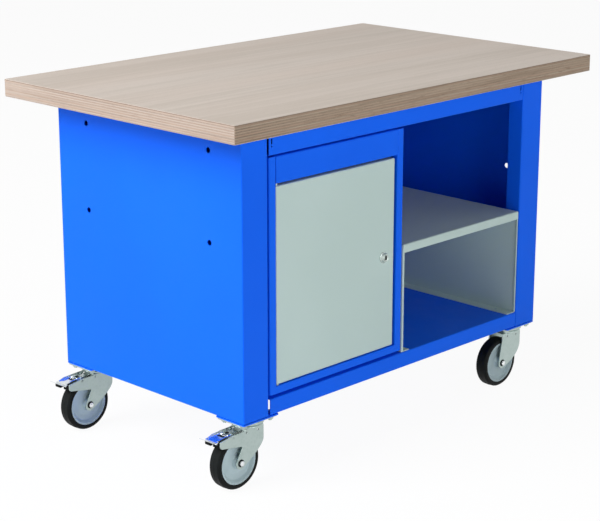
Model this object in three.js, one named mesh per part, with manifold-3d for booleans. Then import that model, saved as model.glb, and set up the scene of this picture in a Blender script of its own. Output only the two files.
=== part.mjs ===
// Mobile workbench: multiplex worktop, folded steel frame, one cabinet with a lockable door,
// an open compartment with a shelf, and four swivel casters, two of them braked.
// Millimetres, +Z up, +X to the right, the front faces -Y, the origin is on the floor under the centre.
import * as THREE from 'three';
import { mergeVertices } from 'three/addons/utils/BufferGeometryUtils.js';
import Module from 'manifold-3d';

const wasm = await Module();
wasm.setup();

// Worktop
const HEIGHT = 835;
const TOP_LENGTH = 1200;
const TOP_DEPTH = 750;
const TOP_THICKNESS = 40;
const TOP_CORNER = 3;
const TOP_CHAMFER = 1.5;
const TOP_OVERHANG_X = 90;
const TOP_OVERHANG_Y = 75;

// Sheet steel
const SHEET = 2;
const BEND = 1;
const BEND_STEPS = 2;

// Frame
const POST_WIDTH = 75;
const POST_RETURN = 41;
const PANEL_FLANGE = 30;
const PANEL_HOLE = 10;
const PANEL_HOLE_PITCH_Y = 400;
const PANEL_HOLE_PITCH_Z = 200;
const PANEL_HOLE_DROP = 50;
const RAIL_HEIGHT = 60;
const RAIL_TOP_FLANGE = 40;
const RAIL_RETURN = 30;
const RAIL_SLOT_WIDTH = 4;
const RAIL_SLOT_LENGTH = 12;
const RAIL_SLOT_INSET = 8;
const RAIL_HOLE = 4;
const RAIL_HOLE_DROP = 11;
const BASE_HEIGHT = 37;
const BASE_RETURN = 16;
const INFILL_GAP_LEFT = 5;
const INFILL_GAP_RIGHT = 2.5;
const BACK_RETURN = 25;
const CORNER_PLATE = 5;
const CORNER_MARGIN_X = 13;
const CORNER_MARGIN_Y = 14;
const PLATE_CORNER = 3;

// Cabinet
const CABINET_WIDTH = 427;
const CABINET_BACK_GAP = 30;
const CABINET_LIFT = 8;
const CABINET_TOP_GAP = 4;
const FLANGE_WIDTH = 20;
const FLANGE_RETURN = 15;
const SKID_SETBACK = 20;
const CABINET_BOTTOM_RAIL = 17;
const FASCIA_HEIGHT = 59;
const FASCIA_TOP_FLANGE = 25;
const FASCIA_RETURN = 16;
const SEAM = 0.5;
const SHELF_HEIGHT = 230;
const SHELF_LIP = 22;
const SHELF_RETURN = 12;
const SHELF_SETBACK = 50;
const SHELF_BACK_GAP = 8;
const BRACKET_LEG = 18;
const BRACKET_END_GAP = 6;

// Door, hinge and lock
const DOOR_RECESS = 3;
const DOOR_DEPTH = 18;
const DOOR_LIP = 12;
const DOOR_GAP_LEFT = 3;
const DOOR_GAP_RIGHT = 6;
const DOOR_GAP_TOP = 6;
const DOOR_GAP_BOTTOM = 2;
const HINGE_PIN = 5;
const HINGE_CLEARANCE = 0.5;
const HINGE_HEAD = 9;
const HINGE_HEAD_HEIGHT = 2;
const HINGE_REACH = 12;
const RUNNING_GAP = 0.3;
const LOCK_SETBACK = 34.5;
const LOCK_DROP = 4;
const LOCK_BASE = 27;
const LOCK_FACE = 18;
const LOCK_PROUD = 8;
const LOCK_BARREL = 18;
const CAM_STANDOFF = 2;
const LOCK_PLUG = 12;
const LOCK_TAIL = 8;
const LOCK_TAIL_LENGTH = 5;
const LOCK_NUT = 25;
const LOCK_NUT_THICKNESS = 5;
const KEY_SLOT_WIDTH = 2.6;
const KEY_SLOT_LENGTH = 9;
const KEY_SLOT_DEPTH = 5;
const CAM_WIDTH = 15;
const CAM_THICKNESS = 2.5;
const CAM_BITE = 6;

// Shelf insert of the open compartment
const INSERT_GAP = 4;
const INSERT_BACK_GAP = 40;
const INSERT_HEIGHT = 261;
const INSERT_LIP = 20;
const INSERT_FOOT = 30;
const INSERT_EDGE = 5;
const INSERT_HOLE = 7;
const INSERT_HOLE_SETBACK = 53;
const INSERT_HOLE_INSET = 12;

// Wheels
const WHEEL_DIAMETER = 125;
const TYRE_WIDTH = 32;
const TYRE_WALL = 12;
const TYRE_SHOULDER = 5;
const TREAD_CROWN = 0.6;
const RIM_INSET = 1;
const RIM_BAND = 5;
const RIM_WEB = 20;
const HUB_DIAMETER = 20;
const HUB_OVERHANG = 1.5;
const BUSH_DIAMETER = 14;
const AXLE_DIAMETER = 8;
const AXLE_HEAD = 12;
const AXLE_HEAD_HEIGHT = 3;

// Caster forks and plates
const FORK_SHEET = 3;
const FORK_BEND = 3;
const FORK_CLEARANCE = 3;
const FORK_TRAIL = 41;
const FORK_FRONT = 28;
const FORK_BACK = 43;
const LEG_STRAIGHT = 34;
const LEG_END = 14;
const LEG_ANGLE = 72;
const BRAKED_LEG_ANGLE = 60;
const CROWN_CLEARANCE = 11;
const LOWER_RACE = 4;
const LOWER_RACE_DIAMETER = 66;
const RACE_GAP = 0.5;
const UPPER_RACE = 8.5;
const UPPER_RACE_DIAMETER = 74;
const RACE_LIP = 2;
const CASTER_PLATE = 3;
const PLATE_MARGIN_X = 12.5;
const PLATE_MARGIN_Y = 10;
const BOLT_PITCH_X = 80;
const BOLT_PITCH_Y = 60;
const BOLT_HOLE = 9;
const KINGPIN = 12;
const KINGPIN_HEAD = 20;
const KINGPIN_HEAD_HEIGHT = 6;

// Brake of the two left casters
const ARM_REACH = 101;
const ARM_NOTCH = 37;
const ARM_RISE = 38;
const ARM_TIP_RISE = 47;
const ARM_TIP_HEIGHT = 15;
const ARM_TIP_ROUND = 9;
const PEDAL_PIN = 6;
const PEDAL_PIN_REACH = 62;
const PEDAL_PIN_LIFT = 6;
const PEDAL_CLEARANCE = 3;
const PEDAL_SIDE_GAP = 1;
const PEDAL_OVERHANG = 8;
const PEDAL_SHEET = 2.5;
const PEDAL_RISE = 6.2;
const PEDAL_DROP = 5.5;
const PEDAL_LIP = 3.5;
const PEDAL_TAIL_SHEET = 1.5;
const PEDAL_TAIL = 17;
const PEDAL_TAIL_RISE = 10;
const PEDAL_WINDOW = 9;
const PEDAL_SLOT = 5;
const PEDAL_SLOT_OFFSET = 11;
const PEDAL_EDGE = 3;
const PEDAL_LUG = 11;
const PEDAL_LUG_SHEET = 1.8;
const SHOE_SETBACK = 17;
const SHOE_LENGTH = 14;
const SHOE_WIDTH = 24;
const SHOE_GAP = 5;
const BUMPER_LENGTH = 9;
const BUMPER_WIDTH = 14;
const BUMPER_HEIGHT = 4;

// Facets of round pieces
const NUT_SIDES = 6;
const HOLE_SIDES = 8;
const PIN_SIDES = 12;
const DISC_SIDES = 20;
const WHEEL_SIDES = 32;
const CURVE_STEPS = 4;

// Levels and edges worked out from the sizes above
const wheelRadius = WHEEL_DIAMETER / 2;
const crownBottom = WHEEL_DIAMETER + CROWN_CLEARANCE;
const crownTop = crownBottom + FORK_SHEET;
const lowerRaceTop = crownTop + LOWER_RACE;
const upperRaceBottom = lowerRaceTop + RACE_GAP;
const casterPlateBottom = upperRaceBottom + UPPER_RACE;
const casterHeight = casterPlateBottom + CASTER_PLATE;
const bodyBottom = casterHeight + CORNER_PLATE;
const bodyTop = HEIGHT - TOP_THICKNESS;
const baseTop = bodyBottom + BASE_HEIGHT;
const railBottom = bodyTop - RAIL_HEIGHT;
const left = TOP_OVERHANG_X - TOP_LENGTH / 2;
const right = -left;
const front = TOP_OVERHANG_Y - TOP_DEPTH / 2;
const back = -front;
const infillLeft = left + POST_WIDTH + INFILL_GAP_LEFT;
const infillRight = right - POST_WIDTH - INFILL_GAP_RIGHT;
const cabinetRight = infillLeft + CABINET_WIDTH;
const cabinetBack = back - CABINET_BACK_GAP;
const cabinetBottom = baseTop + CABINET_LIFT;
const cabinetTop = railBottom - CABINET_TOP_GAP;
const bottomRailTop = cabinetBottom + CABINET_BOTTOM_RAIL;
const fasciaBottom = cabinetTop - FASCIA_HEIGHT;
const doorLeft = infillLeft + FLANGE_WIDTH + DOOR_GAP_LEFT;
const doorRight = cabinetRight - FLANGE_WIDTH - DOOR_GAP_RIGHT;
const doorFront = front + DOOR_RECESS;
const doorBottom = bottomRailTop + DOOR_GAP_BOTTOM;
const doorTop = fasciaBottom - DOOR_GAP_TOP;
const hingeInset = SHEET + HINGE_PIN / 2 + HINGE_CLEARANCE;
const hingeX = doorLeft + hingeInset;
const hingeY = doorFront + hingeInset;
const lockX = doorRight - LOCK_SETBACK;
const lockZ = (doorBottom + doorTop) / 2 - LOCK_DROP;
const insertLeft = cabinetRight + INSERT_GAP;
const insertTop = baseTop + INSERT_HEIGHT;
const insertBack = back - INSERT_BACK_GAP;
const barrelLength = DOOR_DEPTH + CAM_STANDOFF;
const cornerPlateX = BOLT_PITCH_X + 2 * CORNER_MARGIN_X;
const cornerPlateY = BOLT_PITCH_Y + 2 * CORNER_MARGIN_Y;
const casterPlateX = BOLT_PITCH_X + 2 * PLATE_MARGIN_X;
const casterPlateY = BOLT_PITCH_Y + 2 * PLATE_MARGIN_Y;
const forkInner = TYRE_WIDTH / 2 + FORK_CLEARANCE;
const forkOuter = forkInner + FORK_SHEET;
const rimRadius = wheelRadius - TYRE_WALL;
const tyreTopAtPin = wheelRadius + Math.sqrt(wheelRadius ** 2 - (PEDAL_PIN_REACH - FORK_TRAIL) ** 2);
const pedalPinZ = tyreTopAtPin + PEDAL_PIN_LIFT;
const pedalReach = ARM_REACH + PEDAL_OVERHANG;
const pedalHalf = forkInner - PEDAL_SIDE_GAP;
const pedalStart = LOWER_RACE_DIAMETER / 2 + PEDAL_CLEARANCE;

// Finishes
const finish = {
  beech: { color: 0xbfae9f, roughness: 0.55, metalness: 0 },
  blue: { color: 0x1a52e0, roughness: 0.45, metalness: 0 },
  grey: { color: 0xb4c6c4, roughness: 0.5, metalness: 0 },
  zinc: { color: 0xa9b6b4, roughness: 0.35, metalness: 0.9 },
  chrome: { color: 0xd0d4d6, roughness: 0.15, metalness: 1 },
  rim: { color: 0x9fb3b8, roughness: 0.5, metalness: 0 },
  rubber: { color: 0x16191b, roughness: 0.8, metalness: 0 },
};

// Closed solids from geometries, with joins and cuts
function solid(geometry) {
  const plain = geometry.clone();
  plain.deleteAttribute('normal');
  plain.deleteAttribute('uv');
  const merged = mergeVertices(plain, 1e-4);
  const vertProperties = new Float32Array(merged.attributes.position.array);
  const triVerts = new Uint32Array(merged.index.array);
  return new wasm.Manifold(new wasm.Mesh({ numProp: 3, vertProperties, triVerts }));
}

function join(...geometries) {
  return geometries.map(solid).reduce((whole, piece) => whole.add(piece));
}

function cut(whole, ...geometries) {
  return geometries.map(solid).reduce((rest, piece) => rest.subtract(piece), whole);
}

function geometryOf(manifold) {
  const mesh = manifold.getMesh();
  const geometry = new THREE.BufferGeometry();
  geometry.setAttribute('position', new THREE.BufferAttribute(mesh.vertProperties, mesh.numProp));
  geometry.setIndex(new THREE.BufferAttribute(mesh.triVerts, 1));
  const faceted = geometry.toNonIndexed();
  faceted.computeVertexNormals();
  return faceted;
}

// Box between two corners
function box(x0, x1, y0, y1, z0, z1) {
  const geometry = new THREE.BoxGeometry(x1 - x0, y1 - y0, z1 - z0);
  return geometry.translate((x0 + x1) / 2, (y0 + y1) / 2, (z0 + z1) / 2);
}

const axisX = new THREE.Vector3(1, 0, 0);
const axisY = new THREE.Vector3(0, 1, 0);
const axisZ = new THREE.Vector3(0, 0, 1);

function extrude(shape, depth) {
  return new THREE.ExtrudeGeometry(shape, { depth, bevelEnabled: false, curveSegments: CURVE_STEPS });
}

// Outline in (y, z) drawn out along X
function alongX(shape, x0, x1) {
  const turn = new THREE.Matrix4().makeBasis(axisY, axisZ, axisX);
  return extrude(shape, x1 - x0).applyMatrix4(turn).translate(x0, 0, 0);
}

// Outline in (x, z) drawn out along Y
function alongY(shape, y0, y1) {
  const turn = new THREE.Matrix4().makeBasis(axisX, axisZ, axisY.clone().negate());
  return extrude(shape, y1 - y0).applyMatrix4(turn).translate(0, y1, 0);
}

// Outline in (x, y) drawn out along Z
function alongZ(shape, z0, z1) {
  return extrude(shape, z1 - z0).translate(0, 0, z0);
}

// Outline of a folded strip: its middle line runs through the points, with a round bend at each
function foldedStrip(points, sheet, bend) {
  const line = points.map(([u, v]) => new THREE.Vector2(u, v));
  const middle = bend + sheet / 2;
  const sides = [[], []];
  const put = (point, normal) => {
    sides[0].push(point.clone().addScaledVector(normal, sheet / 2));
    sides[1].unshift(point.clone().addScaledVector(normal, -sheet / 2));
  };
  const normalOf = (direction) => new THREE.Vector2(-direction.y, direction.x);
  const directions = line.slice(1).map((point, i) => point.clone().sub(line[i]).normalize());
  put(line[0], normalOf(directions[0]));
  for (let i = 1; i < line.length - 1; i += 1) {
    const before = directions[i - 1];
    const after = directions[i];
    const turn = Math.atan2(before.cross(after), before.dot(after));
    const setback = middle * Math.tan(Math.abs(turn) / 2);
    const start = line[i].clone().addScaledVector(before, -setback);
    const centre = start.clone().addScaledVector(normalOf(before), Math.sign(turn) * middle);
    for (let step = 0; step <= BEND_STEPS; step += 1) {
      const angle = turn * step / BEND_STEPS;
      const point = start.clone().rotateAround(centre, angle);
      put(point, normalOf(before).rotateAround(new THREE.Vector2(), angle));
    }
  }
  put(line[line.length - 1], normalOf(directions[directions.length - 1]));
  return new THREE.Shape([...sides[0], ...sides[1]]);
}

function roundedRectangle(width, height, radius) {
  const shape = new THREE.Shape();
  const w = width / 2 - radius;
  const h = height / 2 - radius;
  shape.absarc(w, h, radius, 0, Math.PI / 2);
  shape.absarc(-w, h, radius, Math.PI / 2, Math.PI);
  shape.absarc(-w, -h, radius, Math.PI, Math.PI * 1.5);
  shape.absarc(w, -h, radius, Math.PI * 1.5, Math.PI * 2);
  shape.closePath();
  return shape;
}

// Round piece about Z from (radius, height) points; the outline closes on itself or on the axis
function turned(points, sides) {
  const profile = points.map(([r, h]) => new THREE.Vector2(r, h));
  const geometry = new THREE.LatheGeometry(profile, sides);
  return geometry.rotateX(Math.PI / 2);
}

// The same about Y, with the heights along +Y and a flat facet underneath
function turnedAlongY(points, sides) {
  return turned(points, sides).rotateX(-Math.PI / 2).rotateY(Math.PI / sides);
}

function closed(points) {
  return [...points, points[0]];
}

function rod(radius, h0, h1) {
  return [[0, h0], [radius, h0], [radius, h1], [0, h1]];
}

function upright(x, y, diameter, z0, z1, sides = HOLE_SIDES) {
  return turned(rod(diameter / 2, z0, z1), sides).translate(x, y, 0);
}

const bench = new THREE.Group();

function piece(parent, name, geometry, look) {
  const mesh = new THREE.Mesh(geometry, new THREE.MeshStandardMaterial(finish[look]));
  mesh.name = name;
  parent.add(mesh);
  return mesh;
}

// Worktop: one board with lightly broken edges
function worktop() {
  const geometry = new THREE.ExtrudeGeometry(roundedRectangle(TOP_LENGTH, TOP_DEPTH, TOP_CORNER), {
    depth: TOP_THICKNESS - 2 * TOP_CHAMFER,
    bevelThickness: TOP_CHAMFER,
    bevelSize: TOP_CHAMFER,
    bevelOffset: -TOP_CHAMFER,
    bevelSegments: 1,
    curveSegments: 2,
  });
  return geometry.translate(0, 0, bodyTop + TOP_CHAMFER);
}

// Side panel: web, front and rear post and their returns folded from one sheet; side is -1 or 1
function sidePanel(side) {
  const half = SHEET / 2;
  const web = side * (right - half);
  const inner = side * (right - POST_WIDTH + half);
  const outline = foldedStrip([
    [inner, front + POST_RETURN],
    [inner, front + half],
    [web, front + half],
    [web, back - half],
    [inner, back - half],
    [inner, back - POST_RETURN],
  ], SHEET, BEND);
  const flangeX = [side * (right - half), side * (right - PANEL_FLANGE)].sort((a, b) => a - b);
  const flangeY = back - POST_RETURN - SHEET;
  const panel = join(
    alongZ(outline, bodyBottom, bodyTop),
    box(...flangeX, -flangeY, flangeY, bodyTop - SHEET, bodyTop),
    box(...flangeX, -flangeY, flangeY, bodyBottom, bodyBottom + SHEET),
  );
  const holes = [];
  for (const row of [0, 1]) {
    for (const column of [-1, 1]) {
      const hole = turned(rod(PANEL_HOLE / 2, -SHEET * 2, SHEET * 2), PIN_SIDES).rotateY(Math.PI / 2);
      const y = column * PANEL_HOLE_PITCH_Y / 2;
      const z = bodyTop - PANEL_HOLE_DROP - row * PANEL_HOLE_PITCH_Z;
      holes.push(hole.translate(web, y, z));
    }
  }
  return geometryOf(cut(panel, ...holes));
}

// Rail under the worktop between the posts; side is -1 at the front and 1 at the rear
function rail(side) {
  const half = SHEET / 2;
  const face = side * (back - half);
  const outline = foldedStrip([
    [side * (back - RAIL_TOP_FLANGE), bodyTop - half],
    [face, bodyTop - half],
    [face, railBottom + half],
    [side * (back - RAIL_RETURN), railBottom + half],
  ], SHEET, BEND);
  const body = join(alongX(outline, infillLeft, infillRight));
  const slot = roundedRectangle(RAIL_SLOT_WIDTH, RAIL_SLOT_LENGTH, RAIL_SLOT_WIDTH / 2);
  const slotZ = bodyTop - RAIL_HEIGHT / 2;
  const cutters = [infillLeft + RAIL_SLOT_INSET, infillRight - RAIL_SLOT_INSET].flatMap((x) => {
    const upper = alongY(slot, face - SHEET, face + SHEET);
    const lower = turnedAlongY(rod(RAIL_HOLE / 2, face - SHEET, face + SHEET), HOLE_SIDES);
    return [upper.translate(x, 0, slotZ), lower.translate(x, 0, slotZ - RAIL_HOLE_DROP)];
  });
  return geometryOf(cut(body, ...cutters));
}

// Base panel: floor of both compartments with a front and a rear lip, open at its ends
function basePanel() {
  const half = SHEET / 2;
  const outline = foldedStrip([
    [front + BASE_RETURN, bodyBottom + half],
    [front + half, bodyBottom + half],
    [front + half, baseTop - half],
    [back - half, baseTop - half],
    [back - half, bodyBottom + half],
    [back - BASE_RETURN, bodyBottom + half],
  ], SHEET, BEND);
  return alongX(outline, infillLeft, infillRight);
}

// Back panel: stands on the base panel, under the rear rail
function backPanel() {
  const half = SHEET / 2;
  const face = back - SHEET - half;
  const outline = foldedStrip([
    [infillLeft + half, back - BACK_RETURN],
    [infillLeft + half, face],
    [infillRight - half, face],
    [infillRight - half, back - BACK_RETURN],
  ], SHEET, BEND);
  return alongZ(outline, baseTop, railBottom);
}

// Plate with four caster bolt holes, centred on the caster's swivel axis
function boltedPlate(width, depth, z0, z1) {
  const shape = roundedRectangle(width, depth, PLATE_CORNER);
  for (const x of [-BOLT_PITCH_X / 2, BOLT_PITCH_X / 2]) {
    for (const y of [-BOLT_PITCH_Y / 2, BOLT_PITCH_Y / 2]) {
      const points = new THREE.Path().absarc(x, y, BOLT_HOLE / 2, 0, Math.PI * 2).getPoints(HOLE_SIDES);
      shape.holes.push(new THREE.Path(points.slice(0, HOLE_SIDES)));
    }
  }
  return new THREE.ExtrudeGeometry(shape, {
    depth: z1 - z0,
    bevelEnabled: false,
    curveSegments: 2,
  }).translate(0, 0, z0);
}

// Hole for a hinge pin through a sheet between two levels
function hingeHole(z0, z1) {
  return upright(hingeX, hingeY, HINGE_PIN + 2 * RUNNING_GAP, z0 - SHEET, z1 + SHEET, PIN_SIDES);
}

// Cabinet shell: flanges, walls and back folded from one sheet, with a bottom, a top and two skids
function cabinetShell() {
  const half = SHEET / 2;
  const flangeLeft = infillLeft + FLANGE_WIDTH;
  const flangeRight = cabinetRight - FLANGE_WIDTH;
  const outline = foldedStrip([
    [flangeLeft - half, front + FLANGE_RETURN],
    [flangeLeft - half, front + half],
    [infillLeft + half, front + half],
    [infillLeft + half, cabinetBack - half],
    [cabinetRight - half, cabinetBack - half],
    [cabinetRight - half, front + half],
    [flangeRight + half, front + half],
    [flangeRight + half, front + FLANGE_RETURN],
  ], SHEET, BEND);
  const insideX = [infillLeft + half, cabinetRight - half];
  const betweenFlanges = [flangeLeft - half, flangeRight + half];
  const skidY = [front + SKID_SETBACK, cabinetBack - SKID_SETBACK];
  const skidZ = [baseTop, cabinetBottom + CABINET_LIFT];
  const shell = join(
    alongZ(outline, cabinetBottom, cabinetTop),
    box(...insideX, front + half, cabinetBack - half, cabinetBottom, cabinetBottom + SHEET),
    box(...insideX, front + SHEET + BEND, cabinetBack - half, cabinetTop - 2 * SHEET, cabinetTop - SHEET),
    box(...betweenFlanges, front, front + SHEET, cabinetBottom, bottomRailTop),
    box(...betweenFlanges, front, front + FLANGE_RETURN, bottomRailTop - SHEET, bottomRailTop),
    box(infillLeft, infillLeft + SHEET, ...skidY, ...skidZ),
    box(cabinetRight - SHEET, cabinetRight, ...skidY, ...skidZ),
  );
  return geometryOf(cut(shell, hingeHole(bottomRailTop - SHEET, bottomRailTop)));
}

// Fascia above the door, hooked over the cabinet's top
function cabinetFascia() {
  const half = SHEET / 2;
  const outline = foldedStrip([
    [front + FASCIA_TOP_FLANGE, cabinetTop - half],
    [front + half, cabinetTop - half],
    [front + half, fasciaBottom + half],
    [front + FASCIA_RETURN, fasciaBottom + half],
  ], SHEET, BEND);
  const x0 = infillLeft + FLANGE_WIDTH + SEAM;
  const x1 = cabinetRight - FLANGE_WIDTH - SEAM;
  return geometryOf(cut(join(alongX(outline, x0, x1)), hingeHole(fasciaBottom, fasciaBottom + SHEET)));
}

const shelfTop = cabinetBottom + SHELF_HEIGHT;
const shelfFront = front + SHELF_SETBACK;
const shelfBack = cabinetBack - SHELF_BACK_GAP;

// Inner shelf of the cabinet, folded down and back at the front and at the rear
function cabinetShelf() {
  const half = SHEET / 2;
  const lip = shelfTop - SHELF_LIP + half;
  const outline = foldedStrip([
    [shelfFront + SHELF_RETURN, lip],
    [shelfFront + half, lip],
    [shelfFront + half, shelfTop - half],
    [shelfBack - half, shelfTop - half],
    [shelfBack - half, lip],
    [shelfBack - SHELF_RETURN, lip],
  ], SHEET, BEND);
  return alongX(outline, infillLeft + SHEET + SEAM, cabinetRight - SHEET - SEAM);
}

// Angle on the cabinet wall that carries the shelf; side is -1 at the left and 1 at the right
function shelfBracket(side) {
  const half = SHEET / 2;
  const wall = side < 0 ? infillLeft + SHEET : cabinetRight - SHEET;
  const seat = shelfTop - SHEET;
  const outline = foldedStrip([
    [wall - side * half, seat - BRACKET_LEG],
    [wall - side * half, seat - half],
    [wall - side * BRACKET_LEG, seat - half],
  ], SHEET, BEND);
  const inset = SHELF_RETURN + BRACKET_END_GAP;
  return alongY(outline, shelfFront + inset, shelfBack - inset);
}

// Shelf insert: shelf, walls and feet folded from one sheet, with a front lip and narrow front edges
function shelfInsert() {
  const half = SHEET / 2;
  const outline = foldedStrip([
    [insertLeft + INSERT_FOOT, baseTop + half],
    [insertLeft + half, baseTop + half],
    [insertLeft + half, insertTop - half],
    [infillRight - half, insertTop - half],
    [infillRight - half, baseTop + half],
    [infillRight - INSERT_FOOT, baseTop + half],
  ], SHEET, BEND);
  const lipZ = [insertTop - INSERT_LIP, insertTop - half];
  const edgeZ = [baseTop + half, insertTop - INSERT_LIP / 2];
  const body = join(
    alongY(outline, front, insertBack),
    box(insertLeft + half, infillRight - half, front, front + SHEET, ...lipZ),
    box(insertLeft, insertLeft + INSERT_EDGE, front, front + SHEET, ...edgeZ),
    box(infillRight - INSERT_EDGE, infillRight, front, front + SHEET, ...edgeZ),
  );
  const holes = [];
  for (const x of [insertLeft + INSERT_HOLE_INSET, infillRight - INSERT_HOLE_INSET]) {
    for (const y of [front + INSERT_HOLE_SETBACK, insertBack - INSERT_HOLE_SETBACK]) {
      holes.push(upright(x, y, INSERT_HOLE, baseTop - SHEET, baseTop + 2 * SHEET));
    }
  }
  return geometryOf(cut(body, ...holes));
}

// Frame pieces

piece(bench, 'worktop', worktop(), 'beech');
piece(bench, 'left_side_panel', sidePanel(-1), 'blue');
piece(bench, 'right_side_panel', sidePanel(1), 'blue');
piece(bench, 'front_rail', rail(-1), 'blue');
piece(bench, 'rear_rail', rail(1), 'blue');
piece(bench, 'base_panel', basePanel(), 'blue');
piece(bench, 'back_panel', backPanel(), 'blue');
piece(bench, 'cabinet_shell', cabinetShell(), 'blue');
piece(bench, 'cabinet_fascia', cabinetFascia(), 'blue');
piece(bench, 'cabinet_shelf', cabinetShelf(), 'grey');
piece(bench, 'shelf_bracket_left', shelfBracket(-1), 'zinc');
piece(bench, 'shelf_bracket_right', shelfBracket(1), 'zinc');
piece(bench, 'shelf_insert', shelfInsert(), 'grey');

// Door pan with folded edges and an open back
function doorPanel() {
  const rear = doorFront + DOOR_DEPTH;
  const inX = [doorLeft + SHEET, doorRight - SHEET];
  const inZ = [doorBottom + SHEET, doorTop - SHEET];
  const mouthX = [doorLeft + DOOR_LIP, doorRight - DOOR_LIP];
  const mouthZ = [doorBottom + DOOR_LIP, doorTop - DOOR_LIP];
  const lockHole = turnedAlongY(rod(LOCK_BARREL / 2 + RUNNING_GAP, -SHEET, 2 * SHEET), PIN_SIDES);
  return geometryOf(cut(
    join(box(doorLeft, doorRight, doorFront, rear, doorBottom, doorTop)),
    box(...inX, doorFront + SHEET, rear - SHEET, ...inZ),
    box(...mouthX, rear - 2 * SHEET, rear + SHEET, ...mouthZ),
    hingeHole(doorBottom, doorBottom + SHEET),
    hingeHole(doorTop - SHEET, doorTop),
    lockHole.translate(lockX, doorFront, lockZ),
  ));
}

// Upper hinge pin: hangs by its head on the fascia's fold
function upperHingePin() {
  const profile = [
    [0, doorTop - HINGE_REACH],
    [HINGE_PIN / 2, doorTop - HINGE_REACH],
    [HINGE_PIN / 2, fasciaBottom + SHEET],
    [HINGE_HEAD / 2, fasciaBottom + SHEET],
    [HINGE_HEAD / 2, fasciaBottom + SHEET + HINGE_HEAD_HEIGHT],
    [0, fasciaBottom + SHEET + HINGE_HEAD_HEIGHT],
  ];
  return turned(profile, PIN_SIDES).translate(hingeX, hingeY, 0);
}

// Lower hinge pin: its collar stands on the bottom rail and carries the door
function lowerHingePin() {
  const profile = [
    [0, bottomRailTop - SHEET - HINGE_HEAD_HEIGHT],
    [HINGE_PIN / 2, bottomRailTop - SHEET - HINGE_HEAD_HEIGHT],
    [HINGE_PIN / 2, bottomRailTop],
    [HINGE_HEAD / 2, bottomRailTop],
    [HINGE_HEAD / 2, doorBottom - RUNNING_GAP],
    [HINGE_PIN / 2, doorBottom - RUNNING_GAP],
    [HINGE_PIN / 2, doorBottom + HINGE_REACH],
    [0, doorBottom + HINGE_REACH],
  ];
  return turned(profile, PIN_SIDES).translate(hingeX, hingeY, 0);
}

// Lock pieces about the lock's axis, with +Y into the cabinet and 0 at the door's front face

function lockHousing() {
  const bore = LOCK_PLUG / 2 + RUNNING_GAP;
  return turnedAlongY(closed([
    [bore, -LOCK_PROUD],
    [LOCK_FACE / 2, -LOCK_PROUD],
    [LOCK_BASE / 2, -LOCK_PROUD / 4],
    [LOCK_BASE / 2, 0],
    [LOCK_BARREL / 2, 0],
    [LOCK_BARREL / 2, barrelLength],
    [bore, barrelLength],
  ]), DISC_SIDES);
}

function lockNut() {
  const rear = SHEET + LOCK_NUT_THICKNESS;
  const bore = turnedAlongY(rod(LOCK_BARREL / 2 + RUNNING_GAP, 0, rear + SHEET), DISC_SIDES);
  const hexagon = turnedAlongY(rod(LOCK_NUT / 2, SHEET, rear), NUT_SIDES);
  return geometryOf(cut(join(hexagon), bore));
}

const camFace = barrelLength + RUNNING_GAP;

function lockPlug() {
  const body = turnedAlongY([
    [0, -LOCK_PROUD],
    [LOCK_PLUG / 2, -LOCK_PROUD],
    [LOCK_PLUG / 2, camFace],
    [LOCK_TAIL / 2, camFace],
    [LOCK_TAIL / 2, camFace + LOCK_TAIL_LENGTH],
    [0, camFace + LOCK_TAIL_LENGTH],
  ], PIN_SIDES);
  const w = KEY_SLOT_WIDTH / 2;
  const l = KEY_SLOT_LENGTH / 2;
  const slot = box(-w, w, -LOCK_PROUD - SHEET, -LOCK_PROUD + KEY_SLOT_DEPTH, -l, l);
  return geometryOf(cut(join(body), slot));
}

// Cam: hangs down while unlocked, and reaches behind the cabinet's flange when turned to the right
function lockCam() {
  const reach = LOCK_SETBACK + DOOR_GAP_RIGHT + SHEET + CAM_BITE;
  const w = CAM_WIDTH / 2;
  const shape = new THREE.Shape();
  shape.absarc(0, 0, w, 0, Math.PI);
  shape.lineTo(-w, -reach);
  shape.lineTo(w, -reach);
  shape.closePath();
  const rear = camFace + CAM_THICKNESS;
  const hole = turnedAlongY(rod(LOCK_TAIL / 2 + RUNNING_GAP, camFace - SHEET, rear + SHEET), PIN_SIDES);
  return geometryOf(cut(join(alongY(shape, camFace, rear)), hole));
}

piece(bench, 'hinge_pin_upper', upperHingePin(), 'zinc');
piece(bench, 'hinge_pin_lower', lowerHingePin(), 'zinc');
piece(bench, 'door_panel', doorPanel(), 'grey');

const lock = new THREE.Group();
lock.position.set(lockX, doorFront, lockZ);
bench.add(lock);
piece(lock, 'lock_housing', lockHousing(), 'chrome');
piece(lock, 'lock_nut', lockNut(), 'zinc');
piece(lock, 'lock_plug', lockPlug(), 'chrome');
piece(lock, 'lock_cam', lockCam(), 'zinc');

// Caster pieces about the swivel axis, with 0 on the floor and the wheel trailing towards -X

// Top plate with the upper race and a blind hole for the kingpin
function casterPlate() {
  const r = UPPER_RACE_DIAMETER / 2;
  const race = turned([
    [0, upperRaceBottom],
    [r - RACE_LIP, upperRaceBottom],
    [r, upperRaceBottom + RACE_LIP],
    [r, casterPlateBottom - RACE_LIP],
    [r - RACE_LIP, casterPlateBottom + CASTER_PLATE / 2],
    [0, casterPlateBottom + CASTER_PLATE / 2],
  ], DISC_SIDES);
  const plate = boltedPlate(casterPlateX, casterPlateY, casterPlateBottom, casterHeight);
  const holeZ = [upperRaceBottom - RACE_LIP, casterPlateBottom];
  const hole = upright(0, 0, KINGPIN + 2 * RUNNING_GAP, ...holeZ, PIN_SIDES);
  return geometryOf(cut(join(race, plate), hole));
}

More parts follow.
